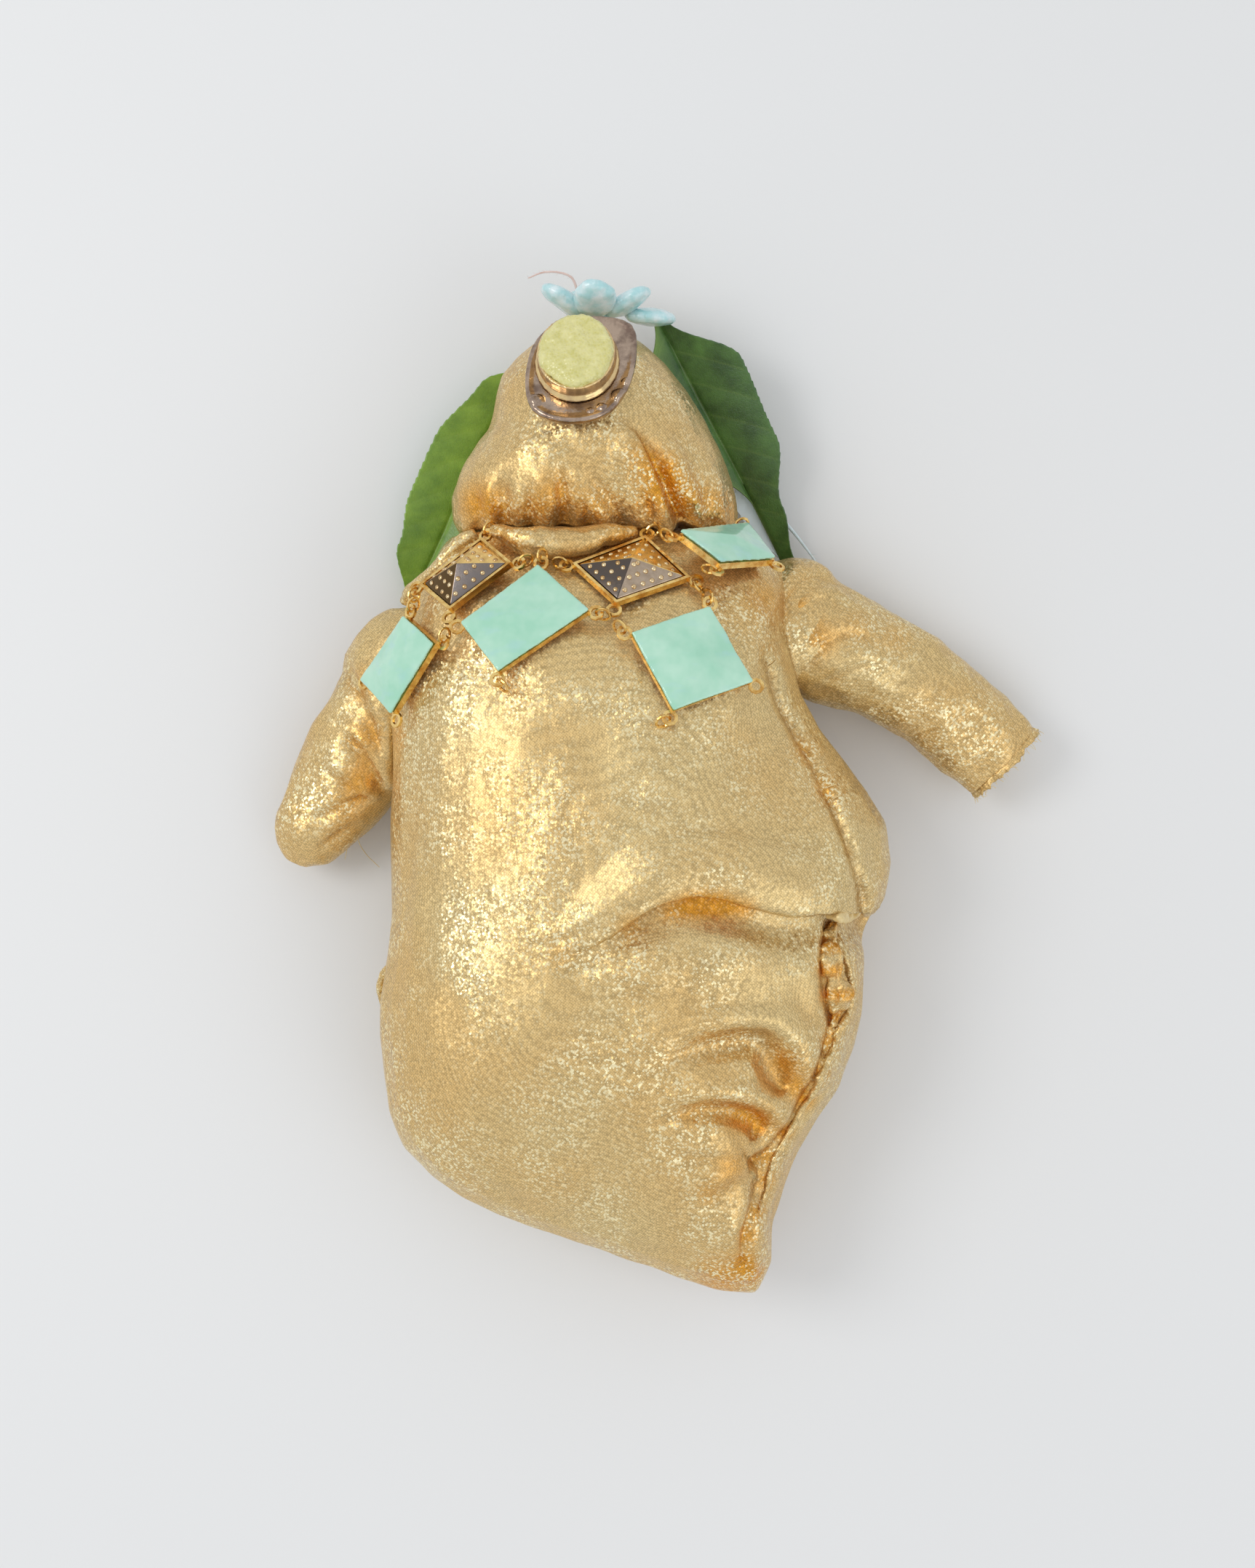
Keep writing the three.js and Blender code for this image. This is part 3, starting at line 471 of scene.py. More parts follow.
# Shade is the painted shade of the hollows, deep the painted reflected gold of the glows, and glint the
# painted highlight.
gold_lame = lame_finish("gold_lame", foil=paint(243, 213, 150), shade=paint(188, 144, 78),
                        deep=paint(246, 172, 54), glint=paint(255, 242, 196))
cloth_voxel = 0.8

# Each arm's root is a ball in its armhole, and the body's skin is filled out there
arm_roots = {"arm_left": ((-61, 27.5, 17.5), 16.9, 12.6), "arm_right": ((34.5, 40.2, 19), 15.8, 13.4)}
body_cloth = even_skin("body_cloth", "torso_bag", cloth_voxel, rounds=10, fillings=arm_roots.values())

# The waist fold laps from above over a deep valley. The rest are drawn towards the hand-sewn seam.
waist_fold = [(-26, -41.5), (-22, -39.8), (-14, -36.4), (-3.2, -28.8), (6.2, -25.4),
              (14.8, -25.8), (23.5, -28), (32.4, -30.1), (40.7, -29.5), (50.1, -30.5)]
seam_upper = [(24.8, 32.5), (28.1, 28.5), (30.5, 20.7), (34.5, 13.8), (38.7, 5.7), (42.9, -3.2),
              (44.9, -8.9), (47.1, -15.5), (50.4, -24.6), (51.5, -30.4)]
front_edge = [(42.2, -31), (40.5, -37.4), (38.9, -43.4), (39.8, -50.5), (41.4, -56.5), (40.5, -62),
              (38, -68.6), (34.6, -75.9), (29.6, -83.2), (25.3, -89.2), (25.3, -95.2), (22.9, -102.3),
              (20.7, -107.8), (20.2, -114.4), (22.9, -118.7)]
back_edge = [(43.5, -31.5), (42.2, -36.1), (44.4, -41.4), (46.5, -48.2), (45.8, -54.2), (43.3, -59),
             (41.7, -63.3), (38.9, -69.3), (35.7, -75.9), (31.1, -83.2), (27.2, -90.3), (26, -96.3),
             (24.1, -102.3), (22.4, -108.4), (22, -114.4), (24.1, -119)]
pocket = [(42.4, -34), (41.4, -40), (42.6, -47), (43.4, -53), (42.3, -58.5)]
body_folds = [
    (waist_fold, 0.9, 1.2, 9, 1.3, 1.8, 0.3, 0),
    (waist_fold[:8], 0, 1.7, 1, 3, 0.8, 0.35, 0.5),
    ([(-2, -23), (8, -20), (20, -22), (34, -24)], 0.5, 0.5, 7, 2.6, 0, 0.4, 0.4),
    (front_edge[::-1], 0.7, 2, 4, 2.4, 0.3, 0.05, 0.05),
    (back_edge, 1.3, 1.4, 3.4, 2.2, 0.4, 0.03, 0.05),
    (pocket, -0.9, 0.9, 2.6, 2.6, 0, 0.2, 0.2),
    ([(-18.9, -50.4), (-11.8, -47.7), (-5.4, -46.8), (2, -48), (8.1, -49.1)], 0.9, 0.9, 7, 6, 0, 0.5, 0.5),
    ([(-3.7, -63.5), (4.7, -60), (14.9, -58.1), (26.3, -58.2), (32, -66.7), (34.1, -73.5)],
     1.5, 1.9, 7, 7, 0, 0.5, 0.05),
    ([(-4, -76.5), (4.8, -75), (14.1, -73.7), (23.8, -76.6), (27.5, -81.5), (24.9, -86.6)],
     1.5, 1.9, 6, 5, 0, 0.5, 0.05),
    ([(-2, -81.8), (6.5, -86.1), (15, -87.1), (22.9, -87.7)], 1.2, 1.8, 5, 3, 0, 0.5, 0.05),
    ([(2.2, -96.2), (10, -97), (16.9, -94.3), (23.3, -90.9)], 1.6, 1.8, 6, 5, 0, 0.5, 0.05),
    ([(22, -91.2), (24.4, -90.2), (26.6, -89.4)], -2.4, 2.4, 1.5, 1.5, 0, 0.3, 0.3),
    (seam_upper, 1.3, 1.7, 8, 2.4, 0.6, 0.1, 0.05),
    ([(-42, 62), (-46.8, 59.3), (-51.4, 54.6), (-55.2, 51.3), (-60, 48)], 1.1, 1.3, 3, 3, 0, 0.2, 0.2),
    ([(20, 50), (24.3, 47.7), (27.8, 43.4), (29.4, 36)], 0.8, 1.4, 4, 3, 0, 0.2, 0.1),
]
ease_cloth(body_cloth, waist_fold, offset=-9.5, width=4.5, rounds=90)
fold_cloth(body_cloth.data, body_folds)
# Patches of painted reflected light, deep gold, where the cloth faces other cloth: (x, y, radius, amount).
body_glows = [
    (3, -29.4, 3, 0.6), (7.5, -28.4, 3.4, 0.9), (12, -28, 3.6, 1), (16.5, -28.4, 3.2, 0.9),
    (21, -29, 2.6, 0.7), (-6, -33, 4, 0.5), (17, -120, 8, 0.9), (31, -66, 4, 0.8), (33.5, -72, 3.5, 0.8),
    (25, -80, 4, 0.8), (19, -78, 5, 0.6), (18, -90, 5, 0.6), (12, -96, 4, 0.5), (8, -78, 5, 0.4),
    (41, -1, 4, 0.6), (36, 8, 4, 0.5), (-40, 60, 9, 0.5), (-6, 61, 9, 0.6), (26, 44, 7, 0.6),
    (-22, -39, 5, 0.35),
]
# More painted reflected light along the seam's front edge.
body_glows += [(x + 1.4, y, 2.6, 0.8) for x, y in front_edge[1:]]
stuffed(body_cloth, "torso_bag", "torso", body_glows, seed=4, waves=[(26, 0.5), (11, 0.22)])

# The left arm ends in a closed tip, and its cloth runs in long folds to the seam along its lower edge
arm_folds = {
    "arm_left": [
        ([(-76.3, 31.6), (-72.1, 23.2), (-68.3, 14.1), (-66.1, 3.4)], 1.4, 2, 4, 3, 0.3, 0.2, 0.2),
        ([(-79.8, 14.3), (-73.9, 10.6), (-68.7, 3.3), (-66.6, -2.1)], 1.5, 2, 3, 2.6, 0.35, 0.3, 0.1),
        ([(-84, 6), (-79, 3), (-73, -2), (-69, -5)], 1.3, 1.7, 2.6, 2.4, 0.35, 0.3, 0.2),
        ([(-88, -9), (-82, -6), (-76.5, -3.6), (-70, -2)], 1.2, 1.5, 2.4, 2.2, 0.35, 0.3, 0.1),
        ([(-88, -17), (-83, -14), (-77, -10), (-73, -8)], 1, 1.3, 2.4, 2.2, 0.3, 0.3, 0.2),
    ],
    "arm_right": [
        ([(30, 36), (33.1, 47.1), (39.6, 52), (47, 49)], 1.5, 2.2, 3.6, 3, 0.4, 0.15, 0.3),
        ([(32, 33), (36, 42.5), (42.2, 46.4), (50, 42)], 1.4, 1.9, 3, 2.6, 0.35, 0.15, 0.4),
        ([(36, 28), (42, 36), (50, 38), (60, 33)], 1.1, 1.5, 3.4, 3, 0.3, 0.3, 0.5),
        ([(38, 22), (45, 28), (54, 30), (64, 24)], 0.8, 1, 3, 3, 0.2, 0.3, 0.5),
        ([(70, 10), (77, 18), (86, 17)], 0.9, 1, 3.4, 3.4, 0.2, 0.4, 0.4),
    ],
}
# Painted reflected light, deep gold, in each arm's folds: (x, y, radius, amount).
arm_glows = {
    "arm_left": [(-71, 12, 5, 0.7), (-73, 1, 5, 0.8), (-77, -6, 5, 0.5), (-72, 25, 5, 0.5),
                 (-80, -14, 5, 0.4)],
    "arm_right": [(34, 43, 5, 0.8), (40, 36, 5, 0.6), (50, 39, 5, 0.35), (60, 36, 5, 0.3)],
}
arm_reach = {"arm_left": (-0.53, -0.85, 0), "arm_right": (0.87, -0.5, 0)}
arm_cloths = {}
for arm, folds in arm_folds.items():
    arm_cloths[arm] = even_skin(f"{arm}_cloth", arm, cloth_voxel, rounds=5)
    fold_cloth(arm_cloths[arm].data, folds)
    stuffed(arm_cloths[arm], arm, None, arm_glows[arm], seed=7, waves=[(17, 0.45), (8, 0.28)])
    shoulder, reach = Vector(arm_roots[arm][0]), Vector(arm_reach[arm])
    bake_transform(arm_cloths[arm])

# Head: a sack drawn together at the neck, so that its cloth runs up in folds from the gathers. The hem of
# the same cloth is rolled under and caught down across the chest.
head_voxel = 0.7
head_cloth = even_skin("head_cloth", "head_bag", head_voxel, rounds=8)
head_folds = [
    ([(4.7, 62), (1.9, 69.4), (-1.4, 77.5), (-5.7, 84.1), (-12.3, 87.3)], 2, 3, 5.5, 4.6, 0.5, 0, 0.35),
    ([(-23.7, 61), (-23.8, 66.8), (-23.9, 71.5), (-23.5, 80)], 1.8, 3, 4, 3, 0.3, 0, 0.6),
    ([(-9.2, 61), (-11.5, 66), (-14.9, 70), (-19, 78)], 1.8, 2.8, 3.6, 3.2, 0.3, 0, 0.6),
    ([(5.6, 61), (3, 67.7), (1.1, 73.5), (-4, 78)], 1.5, 2.6, 3, 2.6, 0.3, 0, 0.6),
    ([(13.2, 61), (9.5, 73.2), (5.1, 81.7), (-1, 90.2)], 1.4, 2, 4.6, 3.6, 0.3, 0, 0.5),
    ([(-44.4, 61), (-45.1, 68.6), (-46.1, 74.2)], 1.2, 2, 3, 3, 0.2, 0, 0.5),
    ([(-38, 61), (-38.5, 70), (-36, 80)], 1.5, 2.4, 3.6, 3, 0.3, 0, 0.6),
    ([(18.3, 61), (17.8, 67.3), (16, 76.1), (14.5, 86.1)], 1, 1.6, 3, 3, 0.2, 0, 0.5),
    ([(-31, 61), (-31.5, 66), (-31, 74)], 1.3, 2.2, 2.5, 2.2, 0.3, 0, 0.6),
    ([(-17, 61), (-17.5, 65), (-18.5, 71)], 1.2, 2.2, 2.2, 2, 0.3, 0, 0.6),
    ([(-2, 61), (-2.5, 66), (-4.5, 72)], 1.2, 2.2, 2.2, 2, 0.3, 0, 0.6),
]
# Painted reflected light, deep gold, in the head's gathers: (x, y, radius, amount).
head_glows = [(-43, 68, 6, 0.9), (-37, 66, 4, 0.5), (-24, 69, 6, 0.75), (-30, 65, 4, 0.5), (1, 70, 6, 0.9),
              (-14, 66, 5, 0.7), (9, 68, 6, 0.7), (-3, 78, 5, 0.6), (3, 76, 4, 0.5), (18, 68, 5, 0.6)]
fold_cloth(head_cloth.data, head_folds)
stuffed(head_cloth, "head_bag", None, head_glows, seed=11, waves=[(18, 0.4), (9, 0.2)])
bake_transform(head_cloth)

roll_cloth = even_skin("roll_cloth", "neck_roll", voxel=0.45, rounds=4)
roll_folds = [
    ([(-36, 59.5), (-29, 59.3), (-20, 58.9), (-10, 60)], 0.5, 0.8, 1.4, 1.2, 0, 0.2, 0.2),
    ([(-33, 57), (-27, 56.4), (-21, 56.6)], 0.3, 0.6, 1.2, 1, 0, 0.3, 0.3),
]
# Painted reflected light, deep gold, on the neck roll: (x, y, radius, amount).
roll_glows = [(-37, 57, 6, 0.8), (-6, 58, 7, 0.8), (-20, 55, 4, 0.4)]
fold_cloth(roll_cloth.data, roll_folds)
stuffed(roll_cloth, "neck_roll", "torso", roll_glows, seed=3, waves=[(9, 0.6), (5, 0.35)],
        plump=0.8)


# Raw seam and loose ends: along the hand-sewn side the cut edges are rolled into a narrow hem, bunched in a
# pocket and held by whip stitches. The right arm's open end and every cut edge fray into short fibres.
def surface_of(mesh):
    return BVHTree.FromPolygons([v.co for v in mesh.vertices], [p.vertices for p in mesh.polygons])


def lie_on(surface, points, above=0.0):
    """Points dropped from overhead onto a cloth, with the cloth's upright at each."""
    drop_height = 0.5
    landed, upright = [], []
    for x, y in points:
        place, normal, _, _ = surface.ray_cast(Vector((x, y, drop_height)), Vector((0, 0, -1)))
        if place is None:
            place, normal, _, _ = surface.find_nearest(Vector((x, y, seam_height)))
        landed.append(np.array(place + normal * above))
        upright.append(np.array(normal))
    return np.array(landed), np.array(upright)


def lengths_along(line):
    return np.concatenate([[0], np.cumsum(np.linalg.norm(np.diff(line, axis=0), axis=1))])


def ruffled_strip(name, foot, out, width, ruffle, pitch, thickness, seed):
    """A narrow strip of cloth whose one edge follows the foot line and whose other edge ruffles."""
    rows, count = 3, len(foot)
    small_wave, small_pitch, raggedness, flare = 0.6, 0.43, 0.16, 1.3
    dice = np.random.default_rng(seed)
    length = lengths_along(foot)
    sideways = unit(np.cross(along(foot), out))
    turn = length / (pitch * mm) * full_turn
    wave = np.sin(turn) + small_wave * np.sin(turn / small_pitch + 1)
    marks = np.arange(0, length[-1] + mm, mm)
    ragged = 1 + raggedness * np.interp(length, marks, dice.normal(size=int(length[-1] / mm) + 2))
    points = []
    for share in np.arange(rows + 1) / rows:
        standing = out * (width * mm * share * ragged)[:, None]
        points.append(foot + standing + sideways * (wave * ruffle * mm * share ** flare)[:, None])
    faces = [(r * count + i, r * count + i + 1, (r + 1) * count + i + 1, (r + 1) * count + i)
             for r in range(rows) for i in range(count - 1)]
    strip = new_piece(name, np.vstack(points), faces)
    modify(strip, "SOLIDIFY", thickness=thickness * mm, offset=0)
    return baked(strip)


def growth_tree(name, inputs):
    """Geometry nodes that grow something on a base, with inputs as names and kinds."""
    tree = bpy.data.node_groups.new(name, "GeometryNodeTree")
    for socket, kind in {"Base": "Geometry", **inputs}.items():
        tree.interface.new_socket(socket, in_out="INPUT", socket_type=f"NodeSocket{kind}")
    tree.interface.new_socket("Grown", in_out="OUTPUT", socket_type="NodeSocketGeometry")
    return tree


def set_on_points(node, points, instance, rotation, scale):
    """The growth tree's last nodes: real copies of one thing on its points."""
    sockets = {"Points": points.outputs[0], "Instance": instance.outputs[0], "Rotation": rotation.outputs[0]}
    copies = node("GeometryNodeInstanceOnPoints", {**sockets, "Scale": scale})
    real = node("GeometryNodeRealizeInstances", {"Geometry": copies.outputs[0]})
    node("NodeGroupOutput", {"Grown": real.outputs[0]})


def keep_vectors(mesh, name, vectors):
    kept = mesh.attributes.new(name, "FLOAT_VECTOR", "POINT")
    kept.data.foreach_set("vector", np.asarray(vectors, np.float32).ravel())


def kept_vector(node, name):
    return node("GeometryNodeInputNamedAttribute", {"Name": name}, data_type="FLOAT_VECTOR").outputs[0]


def grown(piece, tree, **given):
    """What the tree grows on the piece takes its place. The tree's inputs are given in lower case."""
    growth = modify(piece, "NODES", node_group=tree)
    for item in tree.interface.items_tree:
        if item.in_out == "INPUT" and item.name.lower() in given:
            growth[item.identifier] = given[item.name.lower()]
    return baked(piece)


def thread_tree():
    """Geometry nodes that set a bent thread on the line's points, leaning out and up as the line says."""
    numbers = dict.fromkeys(("Spacing", "Length", "Thickness", "Bend", "Spread"), "Float")
    tree = growth_tree("threads_along_a_line", {**numbers, "Seed": "Int"})
    node = partial(add_node, tree)
    given = node("NodeGroupInput").outputs
    curve = node("GeometryNodeMeshToCurve", {"Mesh": given["Base"]})
    points = node("GeometryNodeResampleCurve", {"Curve": curve.outputs[0], "Length": given["Spacing"]},
                  mode="LENGTH")
    half = node("ShaderNodeMath", {0: given["Length"], 1: 0.5}, operation="MULTIPLY").outputs[0]
    middle = node("ShaderNodeCombineXYZ", {"X": half, "Z": given["Bend"]}).outputs[0]
    tip = node("ShaderNodeCombineXYZ", {"X": given["Length"]}).outputs[0]
    bow = node("GeometryNodeCurveQuadraticBezier",
               {"Resolution": 4, "Start": (0, 0, 0), "Middle": middle, "End": tip})
    ring = node("GeometryNodeCurvePrimitiveCircle", {"Resolution": 4, "Radius": given["Thickness"]})
    fibre = node("GeometryNodeCurveToMesh",
                 {"Curve": bow.outputs[0], "Profile Curve": ring.outputs[0], "Fill Caps": True})
    lean = node("FunctionNodeAlignRotationToVector", {"Vector": kept_vector(node, "out")}, axis="X")
    upright = kept_vector(node, "upright")
    lean = node("FunctionNodeAlignRotationToVector", {"Rotation": lean.outputs[0], "Vector": upright},
                axis="Z", pivot_axis="X")
    back = node("ShaderNodeMath", {0: given["Spread"], 1: -1.0}, operation="MULTIPLY").outputs[0]
    astray = node("FunctionNodeRandomValue", {0: back, 1: given["Spread"], "Seed": given["Seed"]},
                  data_type="FLOAT_VECTOR")
    turn = node("FunctionNodeEulerToRotation", {0: astray.outputs[0]}).outputs[0]
    lean = node("FunctionNodeRotateRotation", {"Rotation": lean.outputs[0], "Rotate By": turn},
                rotation_space="LOCAL")
    longer = node("FunctionNodeRandomValue", {"Min": 0.55, "Max": 1.35, "Seed": given["Seed"]},
                  data_type="FLOAT")
    set_on_points(node, points, fibre, lean, next(o for o in longer.outputs if o.enabled))
    return tree


def set_threads(name, line, out, upright, material, body, spacing, length, thickness, bend, spread, seed):
    """Threads along a line. Out and upright are one direction, or one at each point."""
    piece = new_piece(name, line, edges=[(i, i + 1) for i in range(len(line) - 1)])
    keep_vectors(piece.data, "out", np.broadcast_to(out, line.shape))
    keep_vectors(piece.data, "upright", np.broadcast_to(upright, line.shape))
    grown(piece, threads, spacing=spacing * mm, length=length * mm, thickness=thickness * mm, bend=bend * mm,
          spread=spread, seed=seed)
    return finished(piece, material, body)


def rolled_tube(name, points, widths, body, voxel=0.5, lumps=0.2, seed=2,
                material=gold_lame, solid=None):
    """A lumpy tube of rolled cloth along points, with widths that change evenly along it."""
    line = smooth_line(points, 0.6)
    radii = np.interp(np.linspace(0, 1, len(line)), np.linspace(0, 1, len(widths)), widths) * mm
    heading = along(line)
    sideways = unit(np.cross(heading, straight_up))
    upward = np.cross(sideways, heading)
    sides, count = 14, len(line)
    rings = [line + radii[:, None] * (sideways * math.cos(a) + upward * math.sin(a))
             for a in np.linspace(0, full_turn, sides, endpoint=False)]
    faces = [(a * count + i, (a + 1) % sides * count + i, (a + 1) % sides * count + i + 1, a * count + i + 1)
             for a in range(sides) for i in range(count - 1)]
    faces += [[a * count for a in range(sides)], [a * count + count - 1 for a in reversed(range(sides))]]
    tube = evened(new_piece(name, np.vstack(rings), faces), voxel, 3)
    dent_cloth(tube.data, seed, [(6, lumps), (2.5, lumps * 0.6)])
    return finished(tube, material, body, solid)


def two_toned(name, first, second, patches, gloss=None, grain=None, **sockets):
    """Two colours in patches, each with its own roughness where gloss gives them, over a grained face.

    Patches are (size, low, high, detail, roughness), and grain is (size, detail, roughness, depth, strength).
    """
    made = Finish(name, **sockets)
    share = made.patches(*patches)
    made.wear(Base_Color=made.mixed(share, first, second))
    if gloss:
        made.wear(Roughness=made.ranged(share, 0, 1, *gloss))
    if grain:
        made.wear(Normal=made.relief(made.grain(*grain[:3]), *grain[3:]))
    return made.material


gold_thread = two_toned("gold_thread", paint(214, 186, 120), paint(246, 226, 178), (0.6, 0, 1, 2.0, 0.5),
                        Roughness=0.45, Metallic=0.5)
threads = thread_tree()
body_surface = surface_of(body_cloth.data)
pocket_foot, _ = lie_on(body_surface, smooth_line(pocket, 0.5), -0.2 * mm)
crumple = rolled_tube("pocket_crumple", pocket_foot[::6] / mm + (0.5, 0, 0.7),
                      [0.9, 2.3, 2.8, 2.2, 2.8, 2.4, 0.9], "torso", voxel=0.4, lumps=1.1, seed=14)
# The crumpled cloth in the pocket gets painted reflected light, deep gold, in bands.
keep_values(crumple.data, "glow", 0.5 + 0.4 * np.sin(places_of(crumple.data)[:, 1] / mm * 1.1))
knot_foot, _ = lie_on(body_surface, np.array([(40.6, -31), (43, -30.6), (46, -31), (49, -30.2)]) * mm, mm)
rolled_tube("seam_knot", knot_foot / mm, [0.5, 1.3, 1.6, 0.6], "torso", voxel=0.25, lumps=0.6, seed=6,
            material=gold_thread)
hem_line = smooth_line([(x + 0.7, y) for x, y in back_edge[:-3]], 2.5)
hem_places, hem_up = lie_on(body_surface, hem_line, 0.45 * mm)
rolled_tube("side_hem", hem_places / mm, [0.5, 0.9, 1, 1.05, 1, 0.9, 0.8, 0.75, 0.6, 0.4], "torso", voxel=0.4,
            lumps=0.35)
set_threads("side_hem_frays", hem_places + hem_up * 0.5 * mm, (-0.8, -0.1, 0.6), hem_up, gold_thread, "torso",
            spacing=2.2, length=1.3, thickness=0.045, bend=0.3, spread=0.9, seed=3)
upper_foot, upper_up = lie_on(body_surface, smooth_line(seam_upper, 0.8), 0.1 * mm)
upper_out = np.cross(upper_up, along(upper_foot))
set_threads("whip_stitches", upper_foot - upper_out * 0.9 * mm, upper_out, upper_up, gold_thread, "torso",
            spacing=3.4, length=1.9, thickness=0.11, bend=0.5, spread=0.25, seed=8)

# Small ends: a rolled strap from the neck to the left shoulder, a tail of seam that sticks out at the left
# side, the raw hem round the right arm's open end and the ends of sewing thread left on the left arm.
strap_points = [(-43.5, 61.2, 36.5), (-46.8, 59.3, 36), (-51.4, 54.8, 35.4), (-55.6, 51, 33),
                (-59.4, 48.4, 29.5), (-62, 45.5, 25)]
rolled_tube("shoulder_strap", strap_points, [1.4, 2, 1.7, 1.5, 1.8, 1.4], "torso")
tail_points = [(-63.5, -43.5, 30.5), (-66.6, -46.4, 28), (-68.2, -50.5, 26), (-67.4, -56.5, 24.5)]
rolled_tube("seam_tail", tail_points, [0.6, 1.1, 0.9, 0.4], "torso", voxel=0.35, lumps=0.15)

arm_surface = surface_of(arm_cloths["arm_right"].data)
end_middle, end_way = np.array((89, 5.8, 12)) * mm, np.array((0.74, -0.67, -0.05))
end_side, end_up = np.array((0.67, 0.74, 0)), np.array((0.04, -0.03, 1))
end_width, end_height = 11.1 * mm, 6.9 * mm
turns = np.linspace(0, full_turn, 150)[:, None]
end_rim = end_middle + end_side * (end_width * np.cos(turns)) + end_up * (end_height * np.sin(turns))
rim_out = unit(end_side * np.cos(turns) * 0.2 + end_up * np.sin(turns) * 0.2 + end_way)
end_rim = np.array([arm_surface.find_nearest(Vector(p))[0] for p in end_rim]) - end_way * 0.4 * mm
arm_hem = ruffled_strip("arm_hem", end_rim, rim_out, width=1.7, ruffle=0.35, pitch=7.3, thickness=0.3, seed=9)
finished(arm_hem, gold_lame, "arm_right")
set_threads("arm_hem_frays", end_rim + rim_out * 1.5 * mm, rim_out, np.cross(along(end_rim), rim_out),
            gold_thread, "arm_right", spacing=0.7, length=1.6, thickness=0.05, bend=0.3, spread=0.8, seed=12)

loose_ends = {
    "loose_thread_upper": [(-73.5, -11, 14), (-75.8, -14.2, 9), (-74.4, -18, 5), (-71.2, -21.6, 2.5)],
    "loose_thread_lower": [(-76, -12.6, 13), (-78.6, -16, 8), (-80, -19.5, 4)],
}
for name, points in loose_ends.items():
    rolled_tube(name, points, [0.14, 0.12, 0.12, 0.1], "arm_left", voxel=0.09, lumps=0, material=gold_thread)

# Jewellery metal: the tiles' trays and the jump rings are cast and drawn brass, plated gold and rubbed dark
# in patches. The trays keep their shapes, and so do the rings, which only hook into the loops.
gilt_brass = two_toned("gilt_brass", paint(250, 216, 140), paint(206, 152, 74), (2.2, 0.42, 0.68),
                       gloss=(0.16, 0.34), grain=(0.7, 3.0, 0.6, 0.05, 0.4), Metallic=1.0)
for name, solid in solids.items():
    if name.endswith("_tray") or "_ring_" in name:
        finished(solid, gilt_brass)

# Enamel: four tiles are heaped with mint glass enamel, fired thick over the rims of their trays, so that each
# is a low soft-edged hump with a wavy, glossy face.
glaze = Finish("mint_enamel", Roughness=0.12, Coat_Weight=0.7, Coat_Roughness=0.04)
streak = glaze.ranged(glaze.grain(3, place=glaze.turned(35, (0.35, 1, 1))), 0.55, 0.75, 0, 0.5)
mint = glaze.mixed(glaze.patches(9, 0.35, 0.65, 3.0), paint(160, 214, 186), paint(184, 226, 202))
glaze.wear(Base_Color=glaze.mixed(streak, mint, paint(168, 214, 210)),
           Normal=glaze.relief(glaze.grain(4), 0.5, 0.4))
for tile in ("shoulder_tile_left", "chest_tile_left", "chest_tile_right", "shoulder_tile_right"):
    hump = even_skin(f"{tile}_glaze", f"{tile}_enamel", 0.33, 9)
    dent_cloth(hump.data, 13, [(9, 0.1), (4, 0.03)])
    finished(hump, glaze.material, tile, f"{tile}_enamel")

# Stamped tiles: two pyramids of thin sheet, with rows of round dots pressed up from behind. The plating is
# rubbed off the dots and the ridges, and each slope is painted with the reflection it shows: gold on the
# upper slopes and dark on the lower ones.
sheet_metal = Finish("stamped_sheet", Metallic=1.0)
stain = sheet_metal.patches(2, 0.42, 0.7)
stained = sheet_metal.mixed(sheet_metal.times(stain, 0.35), sheet_metal.attribute("painted_slope_reflection", "Color"),
                            paint(92, 70, 48))
sheet_metal.wear(Base_Color=stained, Roughness=sheet_metal.ranged(stain, 0, 1, 0.2, 0.36),
                 Normal=sheet_metal.relief(sheet_metal.grain(1.2), 0.05, 0.4))
rubbed = Finish("rubbed_dots", Metallic=1.0)
rubbing = rubbed.patches(1.5, 0.4, 0.6, 2.0, 0.5)
rubbed.wear(Base_Color=rubbed.mixed(rubbing, paint(236, 214, 172), paint(196, 160, 112)),
            Roughness=rubbed.ranged(rubbed.grain(0.6), 0.3, 0.7, 0.14, 0.3))


def dot_tree():
    """Geometry nodes that set a low round dot on each place, square to the sheet."""
    tree = growth_tree("pressed_dots", {"Radius": "Float", "Flatness": "Float"})
    node = partial(add_node, tree)
    given = node("NodeGroupInput").outputs
    ball = node("GeometryNodeMeshUVSphere", {"Segments": 12, "Rings": 8, "Radius": given["Radius"]})
    squat = node("ShaderNodeCombineXYZ", {"X": 1, "Y": 1, "Z": given["Flatness"]}).outputs[0]
    lean = node("FunctionNodeAlignRotationToVector", {"Vector": kept_vector(node, "upright")}, axis="Z")
    set_on_points(node, node("GeometryNodeMeshToPoints", {"Mesh": given["Base"]}), ball, lean, squat)
    return tree


def tile_corners(tile):
    """The corners of a stamped face from its top round to the right, its apex, and its tray's upright."""
    upward_sides = [side for side in solids[f"{tile}_tray"].data.polygons if side.normal.z > 0]
    square = np.array(max(upward_sides, key=lambda side: side.area).normal)
    face = np.unique(places_of(solids[f"{tile}_face"].data).round(7), axis=0)
    height = face @ square
    above_back, same_level = 0.3 * mm, 0.03 * mm
    foot_height = height[height > height.min() + above_back].min()
    foot = face[np.abs(height - foot_height) < same_level]
    x, y = foot[:, 0], foot[:, 1]
    corners = [foot[i] for i in (y.argmax(), x.argmax(), y.argmin(), x.argmin())]
    return corners, face[height.argmax()], square


